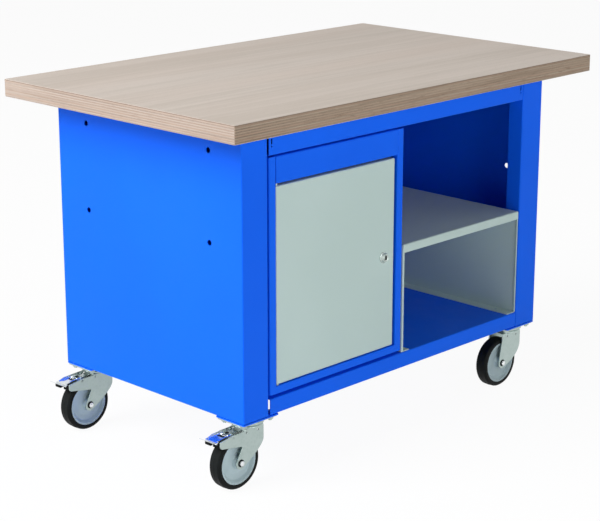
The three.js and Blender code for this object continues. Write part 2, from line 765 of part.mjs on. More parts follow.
// Kingpin: its head carries the fork
function kingpin() {
  const headTop = crownBottom - RUNNING_GAP;
  return turned([
    [0, headTop - KINGPIN_HEAD_HEIGHT],
    [KINGPIN_HEAD / 2, headTop - KINGPIN_HEAD_HEIGHT],
    [KINGPIN_HEAD / 2, headTop],
    [KINGPIN / 2, headTop],
    [KINGPIN / 2, casterPlateBottom],
    [0, casterPlateBottom],
  ], PIN_SIDES);
}

// Side view of a fork leg in (x, z); a braked one has an arm over the tyre that carries the pedal
function legOutline(braked) {
  const axle = -FORK_TRAIL;
  const angle = THREE.MathUtils.degToRad(braked ? BRAKED_LEG_ANGLE : LEG_ANGLE);
  const endX = axle + LEG_END * Math.cos(angle);
  const endZ = wheelRadius - LEG_END * Math.sin(angle);
  const bellyZ = endZ + (FORK_FRONT - endX) / Math.tan(angle);
  const backEdge = braked ? FORK_BEND + PEDAL_CLEARANCE * 2 - pedalStart : -FORK_BACK;
  const shape = new THREE.Shape();
  shape.moveTo(backEdge, crownTop);
  shape.lineTo(FORK_FRONT, crownTop);
  shape.lineTo(FORK_FRONT, Math.max(crownTop - LEG_STRAIGHT, bellyZ));
  shape.quadraticCurveTo(FORK_FRONT, bellyZ, endX, endZ);
  shape.absarc(axle, wheelRadius, LEG_END, -angle, -Math.PI, true);
  if (!braked) {
    shape.lineTo(-FORK_BACK, WHEEL_DIAMETER);
    shape.closePath();
    return shape;
  }
  const armLow = wheelRadius + ARM_RISE;
  const tipLow = wheelRadius + ARM_TIP_RISE;
  const armTop = pedalPinZ + PEDAL_PIN;
  shape.lineTo(-ARM_NOTCH, armLow - FORK_SHEET);
  shape.quadraticCurveTo(-ARM_NOTCH, armLow, -ARM_NOTCH - FORK_SHEET, armLow);
  shape.lineTo(-ARM_REACH + ARM_TIP_ROUND, tipLow);
  shape.quadraticCurveTo(-ARM_REACH, tipLow, -ARM_REACH, tipLow + ARM_TIP_ROUND);
  shape.lineTo(-ARM_REACH, tipLow + ARM_TIP_HEIGHT);
  shape.lineTo(-PEDAL_PIN_REACH, armTop);
  shape.lineTo(backEdge - FORK_BEND, armTop);
  shape.closePath();
  return shape;
}

// Fork: crown and legs folded from one strip, trimmed to the side view, with the lower race on top
function fork(braked) {
  const middle = (forkInner + forkOuter) / 2;
  const crown = crownBottom + FORK_SHEET / 2;
  const bends = [[-middle, 0], [-middle, crown], [middle, crown], [middle, 0]];
  const span = ARM_REACH + FORK_TRAIL;
  const folded = join(alongX(foldedStrip(bends, FORK_SHEET, FORK_BEND), -span, span));
  const reach = forkOuter + FORK_SHEET;
  const trimmed = folded.intersect(solid(alongY(legOutline(braked), -reach, reach)));
  const race = turned(rod(LOWER_RACE_DIAMETER / 2, crownTop - FORK_SHEET / 2, lowerRaceTop), DISC_SIDES);
  const pinHoleZ = [crownBottom - FORK_SHEET, lowerRaceTop + FORK_SHEET];
  const axleHole = turnedAlongY(rod(AXLE_DIAMETER / 2 + RUNNING_GAP, -reach, reach), PIN_SIDES);
  const cutters = [
    upright(0, 0, KINGPIN + 2 * RUNNING_GAP, ...pinHoleZ, PIN_SIDES),
    axleHole.translate(-FORK_TRAIL, 0, wheelRadius),
  ];
  if (braked) {
    const pedalHole = turnedAlongY(rod(PEDAL_PIN / 2 + RUNNING_GAP, -reach, reach), PIN_SIDES);
    cutters.push(pedalHole.translate(-PEDAL_PIN_REACH, 0, pedalPinZ));
  }
  return geometryOf(cut(trimmed.add(solid(race)), ...cutters));
}

// Axle bolt across the fork with a head on each side
function axle() {
  const seat = forkOuter + RUNNING_GAP;
  const end = seat + AXLE_HEAD_HEIGHT;
  return turnedAlongY([
    [0, -end],
    [AXLE_HEAD / 2, -end],
    [AXLE_HEAD / 2, -seat],
    [AXLE_DIAMETER / 2, -seat],
    [AXLE_DIAMETER / 2, seat],
    [AXLE_HEAD / 2, seat],
    [AXLE_HEAD / 2, end],
    [0, end],
  ], PIN_SIDES);
}

function tyre() {
  const facet = Math.cos(Math.PI / WHEEL_SIDES);
  const outer = wheelRadius / facet;
  const inner = rimRadius / facet + RUNNING_GAP;
  const w = TYRE_WIDTH / 2;
  return turnedAlongY(closed([
    [inner, -w + RIM_INSET],
    [outer - TYRE_SHOULDER, -w],
    [outer - TREAD_CROWN, -w + TYRE_SHOULDER],
    [outer, -w / 3],
    [outer, w / 3],
    [outer - TREAD_CROWN, w - TYRE_SHOULDER],
    [outer - TYRE_SHOULDER, w],
    [inner, w - RIM_INSET],
  ]), WHEEL_SIDES);
}

// Rim with a dished web on both sides and a hub that runs close to the fork legs
function rim() {
  const bore = BUSH_DIAMETER / 2 + RUNNING_GAP;
  const hub = HUB_DIAMETER / 2;
  const w = TYRE_WIDTH / 2 - RIM_INSET;
  const halfWeb = RIM_WEB / 2;
  const halfHub = TYRE_WIDTH / 2 + HUB_OVERHANG;
  const half = [
    [bore, halfHub],
    [hub, halfHub],
    [hub + RIM_BAND / 2, halfWeb],
    [rimRadius - 2 * RIM_BAND, halfWeb],
    [rimRadius - RIM_BAND, w],
    [rimRadius, w],
  ];
  const mirrored = half.map(([radius, y]) => [radius, -y]);
  return turnedAlongY(closed([...mirrored, ...half.reverse()]), DISC_SIDES);
}

function bush() {
  const half = forkInner - RUNNING_GAP;
  const bore = AXLE_DIAMETER / 2 + RUNNING_GAP;
  return turnedAlongY(closed([
    [bore, -half],
    [BUSH_DIAMETER / 2, -half],
    [BUSH_DIAMETER / 2, half],
    [bore, half],
  ]), PIN_SIDES);
}

// Height of the pedal's upper face, sloping down outwards from the pin
function pedalTop(reach) {
  const slope = PEDAL_DROP / (pedalReach - PEDAL_PIN_REACH);
  return pedalPinZ + PEDAL_RISE - slope * (reach - PEDAL_PIN_REACH);
}

const lipBottom = pedalTop(pedalReach) - PEDAL_LIP;

// Underside of the pedal's tail, rising outwards from the lip
function tailUnder(reach) {
  return lipBottom - PEDAL_TAIL_SHEET + PEDAL_TAIL_RISE * (reach - pedalReach) / PEDAL_TAIL;
}

// Brake pedal: sloping plate with a window and a slot, an end lip and a turned-up tail, on two lugs
function brakePedal() {
  const half = PEDAL_SHEET / 2;
  const halfTail = PEDAL_TAIL_SHEET / 2;
  const plate = foldedStrip([
    [0, pedalTop(0) - half],
    [-pedalReach, pedalTop(pedalReach) - half],
  ], PEDAL_SHEET, BEND);
  const tail = foldedStrip([
    [-pedalReach + PEDAL_SHEET, pedalTop(pedalReach) - half],
    [-pedalReach, lipBottom - halfTail],
    [-pedalReach - PEDAL_TAIL, lipBottom - halfTail + PEDAL_TAIL_RISE],
  ], PEDAL_TAIL_SHEET, 0);
  const r = PEDAL_LUG / 2;
  const lugEnds = [PEDAL_PIN_REACH - PEDAL_LUG, PEDAL_PIN_REACH + PEDAL_LUG];
  const lug = new THREE.Shape();
  lug.absarc(-PEDAL_PIN_REACH, pedalPinZ, r, Math.PI, 0);
  lugEnds.forEach((reach) => lug.lineTo(-reach, pedalTop(reach) - half));
  lug.closePath();
  const body = join(
    alongY(plate, -pedalHalf, pedalHalf),
    alongY(tail, -pedalHalf, pedalHalf),
    alongY(lug, -pedalHalf, -pedalHalf + PEDAL_LUG_SHEET),
    alongY(lug, pedalHalf - PEDAL_LUG_SHEET, pedalHalf),
  );
  const z = [crownBottom / 2, casterHeight];
  const halfWindow = PEDAL_WINDOW / 2;
  const windowX = [-PEDAL_PIN_REACH - halfWindow, -PEDAL_PIN_REACH + halfWindow];
  const slotStart = -PEDAL_PIN_REACH - PEDAL_SLOT_OFFSET;
  const slotHalf = pedalHalf - PEDAL_EDGE;
  const pinHole = turnedAlongY(rod(PEDAL_PIN / 2 + RUNNING_GAP, -forkOuter, forkOuter), PIN_SIDES);
  return geometryOf(cut(
    body,
    upright(0, 0, 2 * pedalStart, ...z, DISC_SIDES),
    box(...windowX, -halfWindow, halfWindow, ...z),
    box(slotStart - PEDAL_SLOT, slotStart, -slotHalf, slotHalf, ...z),
    pinHole.translate(-PEDAL_PIN_REACH, 0, pedalPinZ),
  ));
}

// Brake shoe under the pedal, cut to follow the tyre
function brakeShoe() {
  const outer = -pedalReach + SHOE_SETBACK;
  const inner = outer + SHOE_LENGTH;
  const reach = wheelRadius + SHOE_GAP;
  const under = (x) => pedalTop(-x) - PEDAL_SHEET - RUNNING_GAP;
  const overTyre = (x) => wheelRadius + Math.sqrt(reach ** 2 - (x + FORK_TRAIL) ** 2);
  const shape = new THREE.Shape();
  shape.moveTo(outer, under(outer));
  shape.lineTo(outer, overTyre(outer));
  shape.lineTo((outer + inner) / 2, overTyre((outer + inner) / 2));
  shape.lineTo(inner, overTyre(inner));
  shape.lineTo(inner, under(inner));
  shape.closePath();
  return alongY(shape, -SHOE_WIDTH / 2, SHOE_WIDTH / 2);
}

// Rubber bumper under the pedal's tail
function pedalBumper() {
  const inner = pedalReach + PEDAL_TAIL_SHEET;
  const outer = inner + BUMPER_LENGTH;
  const low = lipBottom - BUMPER_HEIGHT;
  const shape = new THREE.Shape();
  shape.moveTo(-inner, low);
  shape.lineTo(-inner, tailUnder(inner) - RUNNING_GAP);
  shape.lineTo(-outer, tailUnder(outer) - RUNNING_GAP);
  shape.lineTo(-outer, low + BUMPER_LENGTH / 2);
  shape.quadraticCurveTo(-outer, low, -outer + BUMPER_LENGTH / 2, low);
  shape.closePath();
  return alongY(shape, -BUMPER_WIDTH / 2, BUMPER_WIDTH / 2);
}

// One caster under each corner; the two at the left are braked

const corners = [
  { tag: 'front_left', x: -1, y: -1, braked: true },
  { tag: 'rear_left', x: -1, y: 1, braked: true },
  { tag: 'front_right', x: 1, y: -1, braked: false },
  { tag: 'rear_right', x: 1, y: 1, braked: false },
];

for (const { tag, x, y, braked } of corners) {
  const caster = new THREE.Group();
  caster.position.set(x * (right - cornerPlateX / 2), y * (back - cornerPlateY / 2), 0);
  bench.add(caster);
  const plate = boltedPlate(cornerPlateX, cornerPlateY, casterHeight, bodyBottom);
  piece(caster, `corner_plate_${tag}`, plate, 'blue');
  piece(caster, `caster_plate_${tag}`, casterPlate(), 'zinc');
  piece(caster, `kingpin_${tag}`, kingpin(), 'zinc');
  piece(caster, `fork_${tag}`, fork(braked), 'zinc');
  if (braked) {
    piece(caster, `brake_pedal_${tag}`, brakePedal(), 'chrome');
    piece(caster, `brake_shoe_${tag}`, brakeShoe(), 'rubber');
    piece(caster, `pedal_bumper_${tag}`, pedalBumper(), 'rubber');
    const pin = turnedAlongY(rod(PEDAL_PIN / 2, -forkOuter, forkOuter), PIN_SIDES);
    piece(caster, `pedal_pin_${tag}`, pin, 'zinc').position.set(-PEDAL_PIN_REACH, 0, pedalPinZ);
  }
  const wheel = new THREE.Group();
  wheel.position.set(-FORK_TRAIL, 0, wheelRadius);
  caster.add(wheel);
  piece(wheel, `axle_${tag}`, axle(), 'chrome');
  piece(wheel, `bush_${tag}`, bush(), 'zinc');
  piece(wheel, `rim_${tag}`, rim(), 'rim');
  piece(wheel, `tyre_${tag}`, tyre(), 'rubber');
}

export default bench;
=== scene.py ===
import math
from contextlib import contextmanager
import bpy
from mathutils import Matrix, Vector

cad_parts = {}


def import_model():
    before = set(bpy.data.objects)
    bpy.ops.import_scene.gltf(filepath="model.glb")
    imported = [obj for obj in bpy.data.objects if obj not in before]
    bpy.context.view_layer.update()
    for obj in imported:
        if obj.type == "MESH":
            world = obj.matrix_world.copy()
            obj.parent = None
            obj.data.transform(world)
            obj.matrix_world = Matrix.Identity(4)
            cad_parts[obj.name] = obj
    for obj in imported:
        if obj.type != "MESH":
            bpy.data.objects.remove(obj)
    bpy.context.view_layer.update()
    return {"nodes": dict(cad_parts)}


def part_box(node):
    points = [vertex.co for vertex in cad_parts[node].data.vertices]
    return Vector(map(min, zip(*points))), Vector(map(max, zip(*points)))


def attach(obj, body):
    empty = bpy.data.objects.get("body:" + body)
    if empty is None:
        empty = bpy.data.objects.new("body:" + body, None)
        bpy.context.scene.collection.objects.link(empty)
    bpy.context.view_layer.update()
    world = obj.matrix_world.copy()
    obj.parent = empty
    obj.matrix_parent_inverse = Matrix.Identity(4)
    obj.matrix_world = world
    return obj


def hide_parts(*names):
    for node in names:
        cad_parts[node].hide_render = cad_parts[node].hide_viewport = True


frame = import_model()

from types import SimpleNamespace

import bmesh
import bpy
from mathutils import Matrix, Vector

# Lengths are millimetres and angles degrees, unless a comment says otherwise
MM = 0.001

# Camera, fitted to the photograph's edges, in the object's own frame
CAMERA_PLACE = (-2938.6, -2831.4, 1533.2)
CAMERA_YAW = 44.229
CAMERA_PITCH = -16.027
CAMERA_SENSOR = 36.0
CAMERA_LENS = 105.35

# Light: faint white surroundings, a large soft lamp from the left, weaker ones from front and right
WHITE = (1, 1, 1, 1)
AMBIENT = 0.06
LIGHT_TARGET = (-100, -100, 450)
FLOOR_SIZE = 60000
FLOOR_COLOUR = (0.9, 0.9, 0.9, 1)
FLOOR_ROUGHNESS = 0.9
FLOOR_GLOW = 0.95

# Place, size and watts of each lamp
LAMPS = {
    "key": ((-5798, 1425, 5401), 5040, 790),
    "front": ((-570, -3985, 1282), 2200, 53),
    "right": ((3155, -1979, 1818), 2600, 14),
}

# Colours in display values from 0 to 255, deep and light
BLUE_TONES = ((13, 102, 249), (17, 106, 254))
GREY_TONES = ((194, 215, 210), (200, 220, 216))
ZINC_TONES = ((168, 184, 180), (178, 192, 189))
CHROME_TONES = ((214, 219, 222), (232, 235, 237))
NICKEL_TONES = ((176, 188, 184), (192, 203, 199))
PLASTIC_TONES = ((174, 194, 198), (184, 203, 207))
# Black rubber tones, also used as painted shade in the key slot, the pedal's openings and round the axle
# nuts
RUBBER_AND_PAINTED_SHADE_TONES = ((9, 12, 12), (20, 24, 24))
VENEER_TONES = ((191, 180, 169), (206, 196, 187))
VENEER_TINT = (205, 187, 174)
VENEER_FLECK = (165, 145, 133)

# Colours of the plies in the cut edges: pale, middle, deep and warm
END_TONES = ((191, 178, 166), (174, 158, 147), (132, 114, 101), (179, 155, 139))
LONG_TONES = ((186, 170, 151), (167, 150, 131), (117, 99, 83), (175, 146, 127))

# Making of shapes: joined shapes and cutters run past a surface; STRAIGHT is in radians
OVERLAP = 1
NEAR = 0.03
EDGE = 0.35
FINE_EDGE = 0.3
HEAVY_EDGE = 0.5
EDGE_ANGLE = 38
SMOOTH_ANGLE = 34
FACE_WEIGHT = 100
BEVEL_LAYER = "bevel_weight_edge"
CORNER_SHARE = 0.49
STRAIGHT = 0.01
ON_AXIS = 1e-6
HOLE_STEPS = 32
ARC_STEPS = 16
TURN_STEPS = 96

# Worktop
TOP_CORNER = 3
TOP_ROUND = 1.4
TOP_FACING = 0.5
PLIES = 15
PLY_WANDER = 0.5
PLY_SHIFT = 0.37

# Sheet steel of the frame and cabinet
SHEET = 2
HALF = SHEET / 2
BEND = 1
BEND_STEPS = 6
POST_RETURN = 41
PANEL_FLANGE = 30
PANEL_HOLE = 12.5
PANEL_HOLES = ((-200, 50), (-200, 250), (200, 50), (200, 250))
RAIL_RETURN = 30
RAIL_SLOT = (4, 12)
RAIL_SLOT_ROUND = 1.5
RAIL_SLOT_INSET = 8
RAIL_HOLE = 4
RAIL_HOLE_DROP = 11
BASE_RETURN = 16
FLANGE_WIDTH = 20
FLANGE_RETURN = 15
SKID_SETBACK = 20
CABINET_LIFT = 8
BOTTOM_RAIL = 17
RAIL_LAP = 8
FASCIA_RETURN = 16
SHELF_RETURN = 12
DOOR_LIP = 12
DOOR_ROUND = 2.6
INSERT_LIP = 20
INSERT_FOOT = 30
INSERT_EDGE = 5
INSERT_HOLE = 7
INSERT_HOLE_INSET = (12, 53)

# Lock: diameters, and profiles as steps out from the bore and in from the base
LOCK_BARREL = 18
LOCK_HOLE = 18.6
LOCK_NUT_HOLE = 18.4
LOCK_NUT_EDGE = 0.6
LOCK_BORE = 12.6
LOCK_DISH = ((0, 1.2), (1.2, 0.2), (2.7, 0))
LOCK_COLLAR = ((1.4, 2.2), (0, 1.6), (0, 0))
LOCK_ROUNDS = (0.4, 0.8, 1.2, 1.5, 0.6, 0.2, 0, 0.5, 0.3)
PLUG = 11.8
PLUG_SINK = 0.5
PLUG_EDGE = 0.15
PLUG_ROUNDS = (0, 0.5, 0.2, 0, 0.6, 0)
KEY_SLOT = (6, 9.6, 6)
KEY_SLOT_ROUND = 0.5
KEY_SLOT_EDGE = 0.1
LOCK_TAIL = 8
LOCK_CAM_HOLE = 8.2
LOCK_CAM_FACE = 20.3
LOCK_CAM_ROUNDS = (7, 7, 2, 2)

# Nuts, washers and bolts
HEX_ROUND = 0.4
HEX_CHAMFER = 0.7
HEX_CLEAR = 0.1
BOLTS = ((-40, -30), (-40, 30), (40, -30), (40, 30))
BOLT = 8
BOLT_TIP = 3.8
BOLT_CHAMFER = 0.7
BOLT_HEAD = 5.28
NUT_ACROSS = 13
NUT_HEIGHT = 4.2
WASHER = 16
WASHER_SHEET = 1
WASHER_ROUNDS = (0, 0.3, 0, 0)
AXLE_END = ((4, 3.6), (3.4, 4.4), (2.6, 5.2), (0, 5.2))
AXLE_WASHER = 17.2
AXLE_ROUNDS = (0, 0.3, 0.3, 0)
AXLE_NUT_ACROSS = 11
AXLE_NUT_HEIGHT = 3.2

# Wheels: profiles as steps in from the tread, the rim's edge and the side, and out from the seat and web
WHEEL_STEPS = 128
TYRE_FIT = 0.1
TYRE_LINE = ((0, 0.3), (0.25, 0.6))
TYRE_SIDE = ((0.7, 4.6), (4.6, 0.1), (8, 0))
TYRE_BEAD = ((2.4, 0.4), (1.2, 0.2), (0, 1))
TYRE_ROUNDS = (0.1, 0.2, 2.6, 2.4, 1, 0.6, 0.5, 0.4)
RIM = 101
RIM_SETBACK = 1
RIM_BAND = ((0, 0), (4, 0), (5, 1))
RIM_WEB = 15
RIM_DISH = ((10, 0.4), (22, 0), (35.5, 1.2))
RIM_ROUNDS = (0.6, 1.2, 1, 4, 8, 4, 1, 0.3)
HUB = 22
HUB_BORE = 14.4
BUSH = 14
BUSH_BORE = 8.6
BUSH_ROUNDS = (0.4, 0.4)

# Caster forks and plates, about the swivel axis
BRAKED = {"front_left": True, "rear_left": True, "front_right": False, "rear_right": False}
FORK_WIDTH = 44
FORK_SHEET = 3
FORK_BEND = 3
FORK_HOLE = 4.4
FORK_HOLES = ((-24, 129), (11, 127))
FORK_FRONT = 28
FORK_BACK = 43
FORK_TRIM = 0.2
LEG_STRAIGHT = 34
LEG_END = 14
LEG_ANGLE = 72
BRAKED_LEG_ANGLE = 60
ARM_REACH = 101
ARM_NOTCH = 37
ARM_RISE = 38
ARM_TIP_RISE = 47
ARM_TIP_HEIGHT = 17
ARM_TIP_ROUND = 9
ARM_CREST = 6
ARM_DROP = 1.4
RACE = 66
RACE_BORE = 14
RACE_RISE = 4
RACE_WALL = 1.6
RACE_SLOPE = 2.6
RACE_ROUNDS = (0, 0, 1.2, 1.6, 0)
HEAD = 74
HEAD_SLOPE = 3
HEAD_TAPER = 0.4
HEAD_FOOT = 1.6
HEAD_ROUNDS = (0, 0.8, 1.2, 1.5, 0, 0)
PLATE_CORNER = 3
PLATE_SHEET = 3
SEAM = 1.5
SEAM_DEPTH = 4
KING = 12
KING_HEAD = 20
KING_DOME = 2.6
KING_SEAT = 6
KING_ROUNDS = (0, 2, 1.5, 0.3, 0, 0, 0)

# Brake pedals, about the swivel axis
PEDAL_START = 36
PEDAL_REACH = 109
PEDAL_WIDTH = 36
PEDAL_SHEET = 2
PEDAL_RISE = 3.2
PEDAL_DROP = 2.5
PEDAL_WALL = 5.5
PEDAL_LOW_WALL = 1.2
PEDAL_TAPER = 26
PEDAL_FLARE = 2.6
PEDAL_BEND = 2.4
PEDAL_NECK = 6
PEDAL_NECK_INSET = 1
PEDAL_LIP = 3.5
PEDAL_LIP_FOOT = 0.5
PEDAL_TAIL = 17
PEDAL_TAIL_RISE = 10
PEDAL_TAIL_SHEET = 1.5
PEDAL_LUG = 11
PEDAL_WINDOW = 9
PEDAL_WINDOW_ROUND = 0.8
PEDAL_FRAME = (19, 22)
PEDAL_FRAME_ROUND = 3
PEDAL_FRAME_RISE = 3.2
PEDAL_SLOT = (8, 23)
PEDAL_SLOT_ROUND = 2
PEDAL_SLOT_OFFSET = 15
PEDAL_HEIGHTS = (100, 200)
# Black block under the pedal, painted shade in its window and slot
SHADE_BLOCK_FIT = 0.4
SHADE_BLOCK_SINK = 1
SHADE_BLOCK_DEPTH = 3
SHADE_BAR_SINK = 0.8
SHADE_BAR_DEPTH = 3.5


# Shapes

@contextmanager
def editing(mesh):
    """Opens a mesh for edits, and stores them when the block ends."""
    shape = bmesh.new()
    shape.from_mesh(mesh)
    yield shape
    shape.to_mesh(mesh)
    shape.free()


def new_object(name, verts, faces):
    """Object from points in millimetres, with its faces turned outwards."""
    mesh = bpy.data.meshes.new(name)
    mesh.from_pydata([Vector(v) * MM for v in verts], [], faces)
    with editing(mesh) as shape:
        bmesh.ops.recalc_face_normals(shape, faces=shape.faces)
    obj = bpy.data.objects.new(name, mesh)
    bpy.context.scene.collection.objects.link(obj)
    return obj


def polar(centre, radius, turns):
    """Points of a circle at the given angles in radians."""
    return [(centre[0] + radius * math.cos(t), centre[1] + radius * math.sin(t)) for t in turns]


def fillet(points, rounds, steps=6):
    """Closed outline with rounded corners, all of one radius or each of its own."""
    if not isinstance(rounds, tuple):
        rounds = (rounds,) * len(points)
    outline = []
    for i, (point, radius) in enumerate(zip(points, rounds)):
        here = Vector(point)
        before = Vector(points[i - 1]) - here
        after = Vector(points[(i + 1) % len(points)]) - here
        half = before.angle(after) / 2
        if radius <= 0 or math.pi / 2 - half < STRAIGHT:
            outline.append(tuple(here))
            continue
        setback = min(radius / math.tan(half), before.length * CORNER_SHARE, after.length * CORNER_SHARE)
        radius = setback * math.tan(half)
        before.normalize()
        after.normalize()
        centre = here + (before + after).normalized() * (radius / math.sin(half))
        start = here + before * setback - centre
        end = here + after * setback - centre
        first = math.atan2(start.y, start.x)
        sweep = (math.atan2(end.y, end.x) - first + math.pi) % math.tau - math.pi
        outline += polar(centre, radius, [first + sweep * k / steps for k in range(steps + 1)])
    return outline


def rectangle(width, height, radius, centre=(0, 0)):
    """Outline of a rectangle with round corners."""
    (u, v), x, y = centre, width / 2, height / 2
    return fillet([(u - x, v - y), (u + x, v - y), (u + x, v + y), (u - x, v + y)], radius)


def ring(radius, centre):
    """Outline of a circle."""
    return polar(centre, radius, [math.tau * (k + 0.5) / HOLE_STEPS for k in range(HOLE_STEPS)])


def hexagon(radius, centre):
    """Outline of a hexagon with lightly rounded corners."""
    return fillet(polar(centre, radius, [math.tau * k / 6 for k in range(6)]), HEX_ROUND, steps=2)


def bow(start, control, end, steps=ARC_STEPS):
    """Curve from start to end, drawn towards the control point."""
    a, b, c = Vector(start), Vector(control), Vector(end)
    return [tuple(a * (1 - t) ** 2 + b * 2 * t * (1 - t) + c * t * t)
            for t in (k / steps for k in range(steps + 1))]


def strip(points, sheet=SHEET, bend=BEND, steps=BEND_STEPS):
    """Outline of a folded sheet whose middle line runs through the points."""
    line = [Vector(p) for p in points]
    ways = [(b - a).normalized() for a, b in zip(line, line[1:])]
    left, right = [], []

    def put(point, way):
        side = Vector((-way.y, way.x)) * (sheet / 2)
        left.append(tuple(point + side))
        right.insert(0, tuple(point - side))

    put(line[0], ways[0])
    for point, before, after in zip(line[1:], ways, ways[1:]):
        turn = math.atan2(before.x * after.y - before.y * after.x, before.dot(after))
        radius = bend + sheet / 2
        start = point - before * (radius * math.tan(abs(turn) / 2))
        centre = start + Vector((-before.y, before.x)) * math.copysign(radius, turn)
        for step in range(steps + 1):
            spin = Matrix.Rotation(turn * step / steps, 2)
            put(centre + spin @ (start - centre), spin @ before)
    put(line[-1], ways[-1])
    return left + right


def channel(low, high, bottom, top, foot):
    """Section of a sheet with two sides turned down and their feet turned in."""
    return strip([(low + foot, bottom + HALF), (low + HALF, bottom + HALF), (low + HALF, top - HALF),
                  (high - HALF, top - HALF), (high - HALF, bottom + HALF), (high - foot, bottom + HALF)])


def lipped(face, back, lip, bottom, top):
    """Section of a rail: top flange, face and bottom lip."""
    return strip([(back, top - HALF), (face, top - HALF), (face, bottom + HALF), (lip, bottom + HALF)])


PLACE = {
    "X": lambda u, v, h: (h, u, v),
    "Y": lambda u, v, h: (u, h, v),
    "Z": lambda u, v, h: (u, v, h),
}


def prism(outline, axis, low, high):
    """Solid drawn out of an outline along an axis."""
    n = len(outline)
    verts = [PLACE[axis](u, v, h) for h in (low, high) for u, v in outline]
    sides = [[i, (i + 1) % n, n + (i + 1) % n, n + i] for i in range(n)]
    return new_object("prism", verts, [list(range(n)), list(range(n, 2 * n)), *sides])


def block(x0, x1, y0, y1, z0, z1):
    """Box between two corners, to join to another shape."""
    return prism([(x0, y0), (x1, y0), (x1, y1), (x0, y1)], "Z", z0, z1)


def lathe(profile, axis="Z", centre=(0, 0, 0), steps=64, looped=False):
    """Round solid from (radius, height) points about an axis through the centre."""
    verts, rings = [], []
    for radius, height in profile:
        count = 1 if radius < ON_AXIS else steps
        rings.append(range(len(verts), len(verts) + count))
        turns = [math.tau * (k + 0.5) / steps for k in range(count)]
        circle = [PLACE[axis](u, v, height) for u, v in polar((0, 0), radius, turns)]
        verts += [Vector(spot) + Vector(centre) for spot in circle]
    pairs = list(zip(rings, rings[1:]))
    if looped:
        pairs.append((rings[-1], rings[0]))
    faces = []
    for a, b in pairs:
        for k in range(steps):
            corners = a[k % len(a)], a[(k + 1) % len(a)], b[(k + 1) % len(b)], b[k % len(b)]
            faces.append(list(dict.fromkeys(corners)))
    return new_object("lathe", verts, faces)


def mirrored(half):
    """Whole (radius, place) profile from the half on one side of the middle plane."""
    return [(radius, -place) for radius, place in reversed(half)] + half


def discard(obj):
    """Removes an object that is now part of another."""
    mesh = obj.data
    bpy.data.objects.remove(obj)
    bpy.data.meshes.remove(mesh)


def merge(whole, *parts):
    """Puts more shapes into an object, each as a shell of its own."""
    with editing(whole.data) as shape:
        for part in parts:
            shape.from_mesh(part.data)
    for part in parts:
        discard(part)
    return whole


def settle(obj):
    """Turns the modifiers' result into the object's own mesh."""
    graph = bpy.context.evaluated_depsgraph_get()
    mesh = bpy.data.meshes.new_from_object(obj.evaluated_get(graph))
    spent = obj.data
    obj.modifiers.clear()
    obj.data = mesh
    bpy.data.meshes.remove(spent)
    return obj


def combine(operation, obj, *others):
    """Joins shapes to an object, cuts them from it, or keeps what they share."""
    for other in others:
        step = obj.modifiers.new("combine", "BOOLEAN")
        step.operation = operation
        step.solver = "EXACT"
        step.object = other
    settle(obj)
    for other in others:
        discard(other)
    return obj


def drill(obj, diameter, axis, low, high, *spots):
    """Cuts round holes through an object."""
    return combine("DIFFERENCE", obj, *[prism(ring(diameter / 2, spot), axis, low, high) for spot in spots])


def soften(obj, width=EDGE, segments=2):
    """Breaks the sharp outer edges and shades bends smooth, with flat faces kept flat."""
    obj.data.shade_smooth()
    if width:
        with editing(obj.data) as shape:
            weight = shape.edges.layers.float.new(BEVEL_LAYER)
            for edge in shape.edges:
                outer = edge.is_manifold and edge.is_convex
                edge[weight] = float(outer and edge.calc_face_angle() > math.radians(EDGE_ANGLE))
        edges = obj.modifiers.new("edges", "BEVEL")
        edges.width = width * MM
        edges.segments = segments
        edges.limit_method = "WEIGHT"
        edges.use_clamp_overlap = False
    settle(obj)
    if width:
        obj.data.attributes.remove(obj.data.attributes[BEVEL_LAYER])
    obj.data.set_sharp_from_angle(angle=math.radians(SMOOTH_ANGLE))
    shading = obj.modifiers.new("shading", "WEIGHTED_NORMAL")
    shading.keep_sharp = True
    shading.weight = FACE_WEIGHT
    return settle(obj)


# The frame

def span(node):
    """A node's x, y and z limits in millimetres."""
    low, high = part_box(node)
    return [value / MM for pair in zip(low, high) for value in pair]


def sizes(node):
    """A node's size along x, y and z in millimetres."""
    x0, x1, y0, y1, z0, z1 = span(node)
    return x1 - x0, y1 - y0, z1 - z0


def middle(node):
    """The middle of a node's box in millimetres."""
    low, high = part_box(node)
    return (Vector(low) + Vector(high)) / 2 / MM


def piece(obj, name, finish, body, *nodes):
    """Names a finished piece, gives it its finish and ties it to the frame."""
    slot, *materials = finish
    obj.name = name
    obj.data.name = name
    for material in materials:
        obj.data.materials.append(material)
    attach(obj, body)
    if nodes:
        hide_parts(*nodes)
    return obj


def dress(node, finish):
    """Gives a CAD node that shows as it is the material of a finish."""
    materials = frame["nodes"][node].data.materials
    materials.clear()
    materials.append(finish[1])


# Looks

def srgb(tone):
    """Linear colour from a display colour."""
    parts = [c / 255 for c in tone]
    linear = [c / 12.92 if c <= 0.04045 else ((c + 0.055) / 1.055) ** 2.4 for c in parts]
    return (*linear, 1.0)


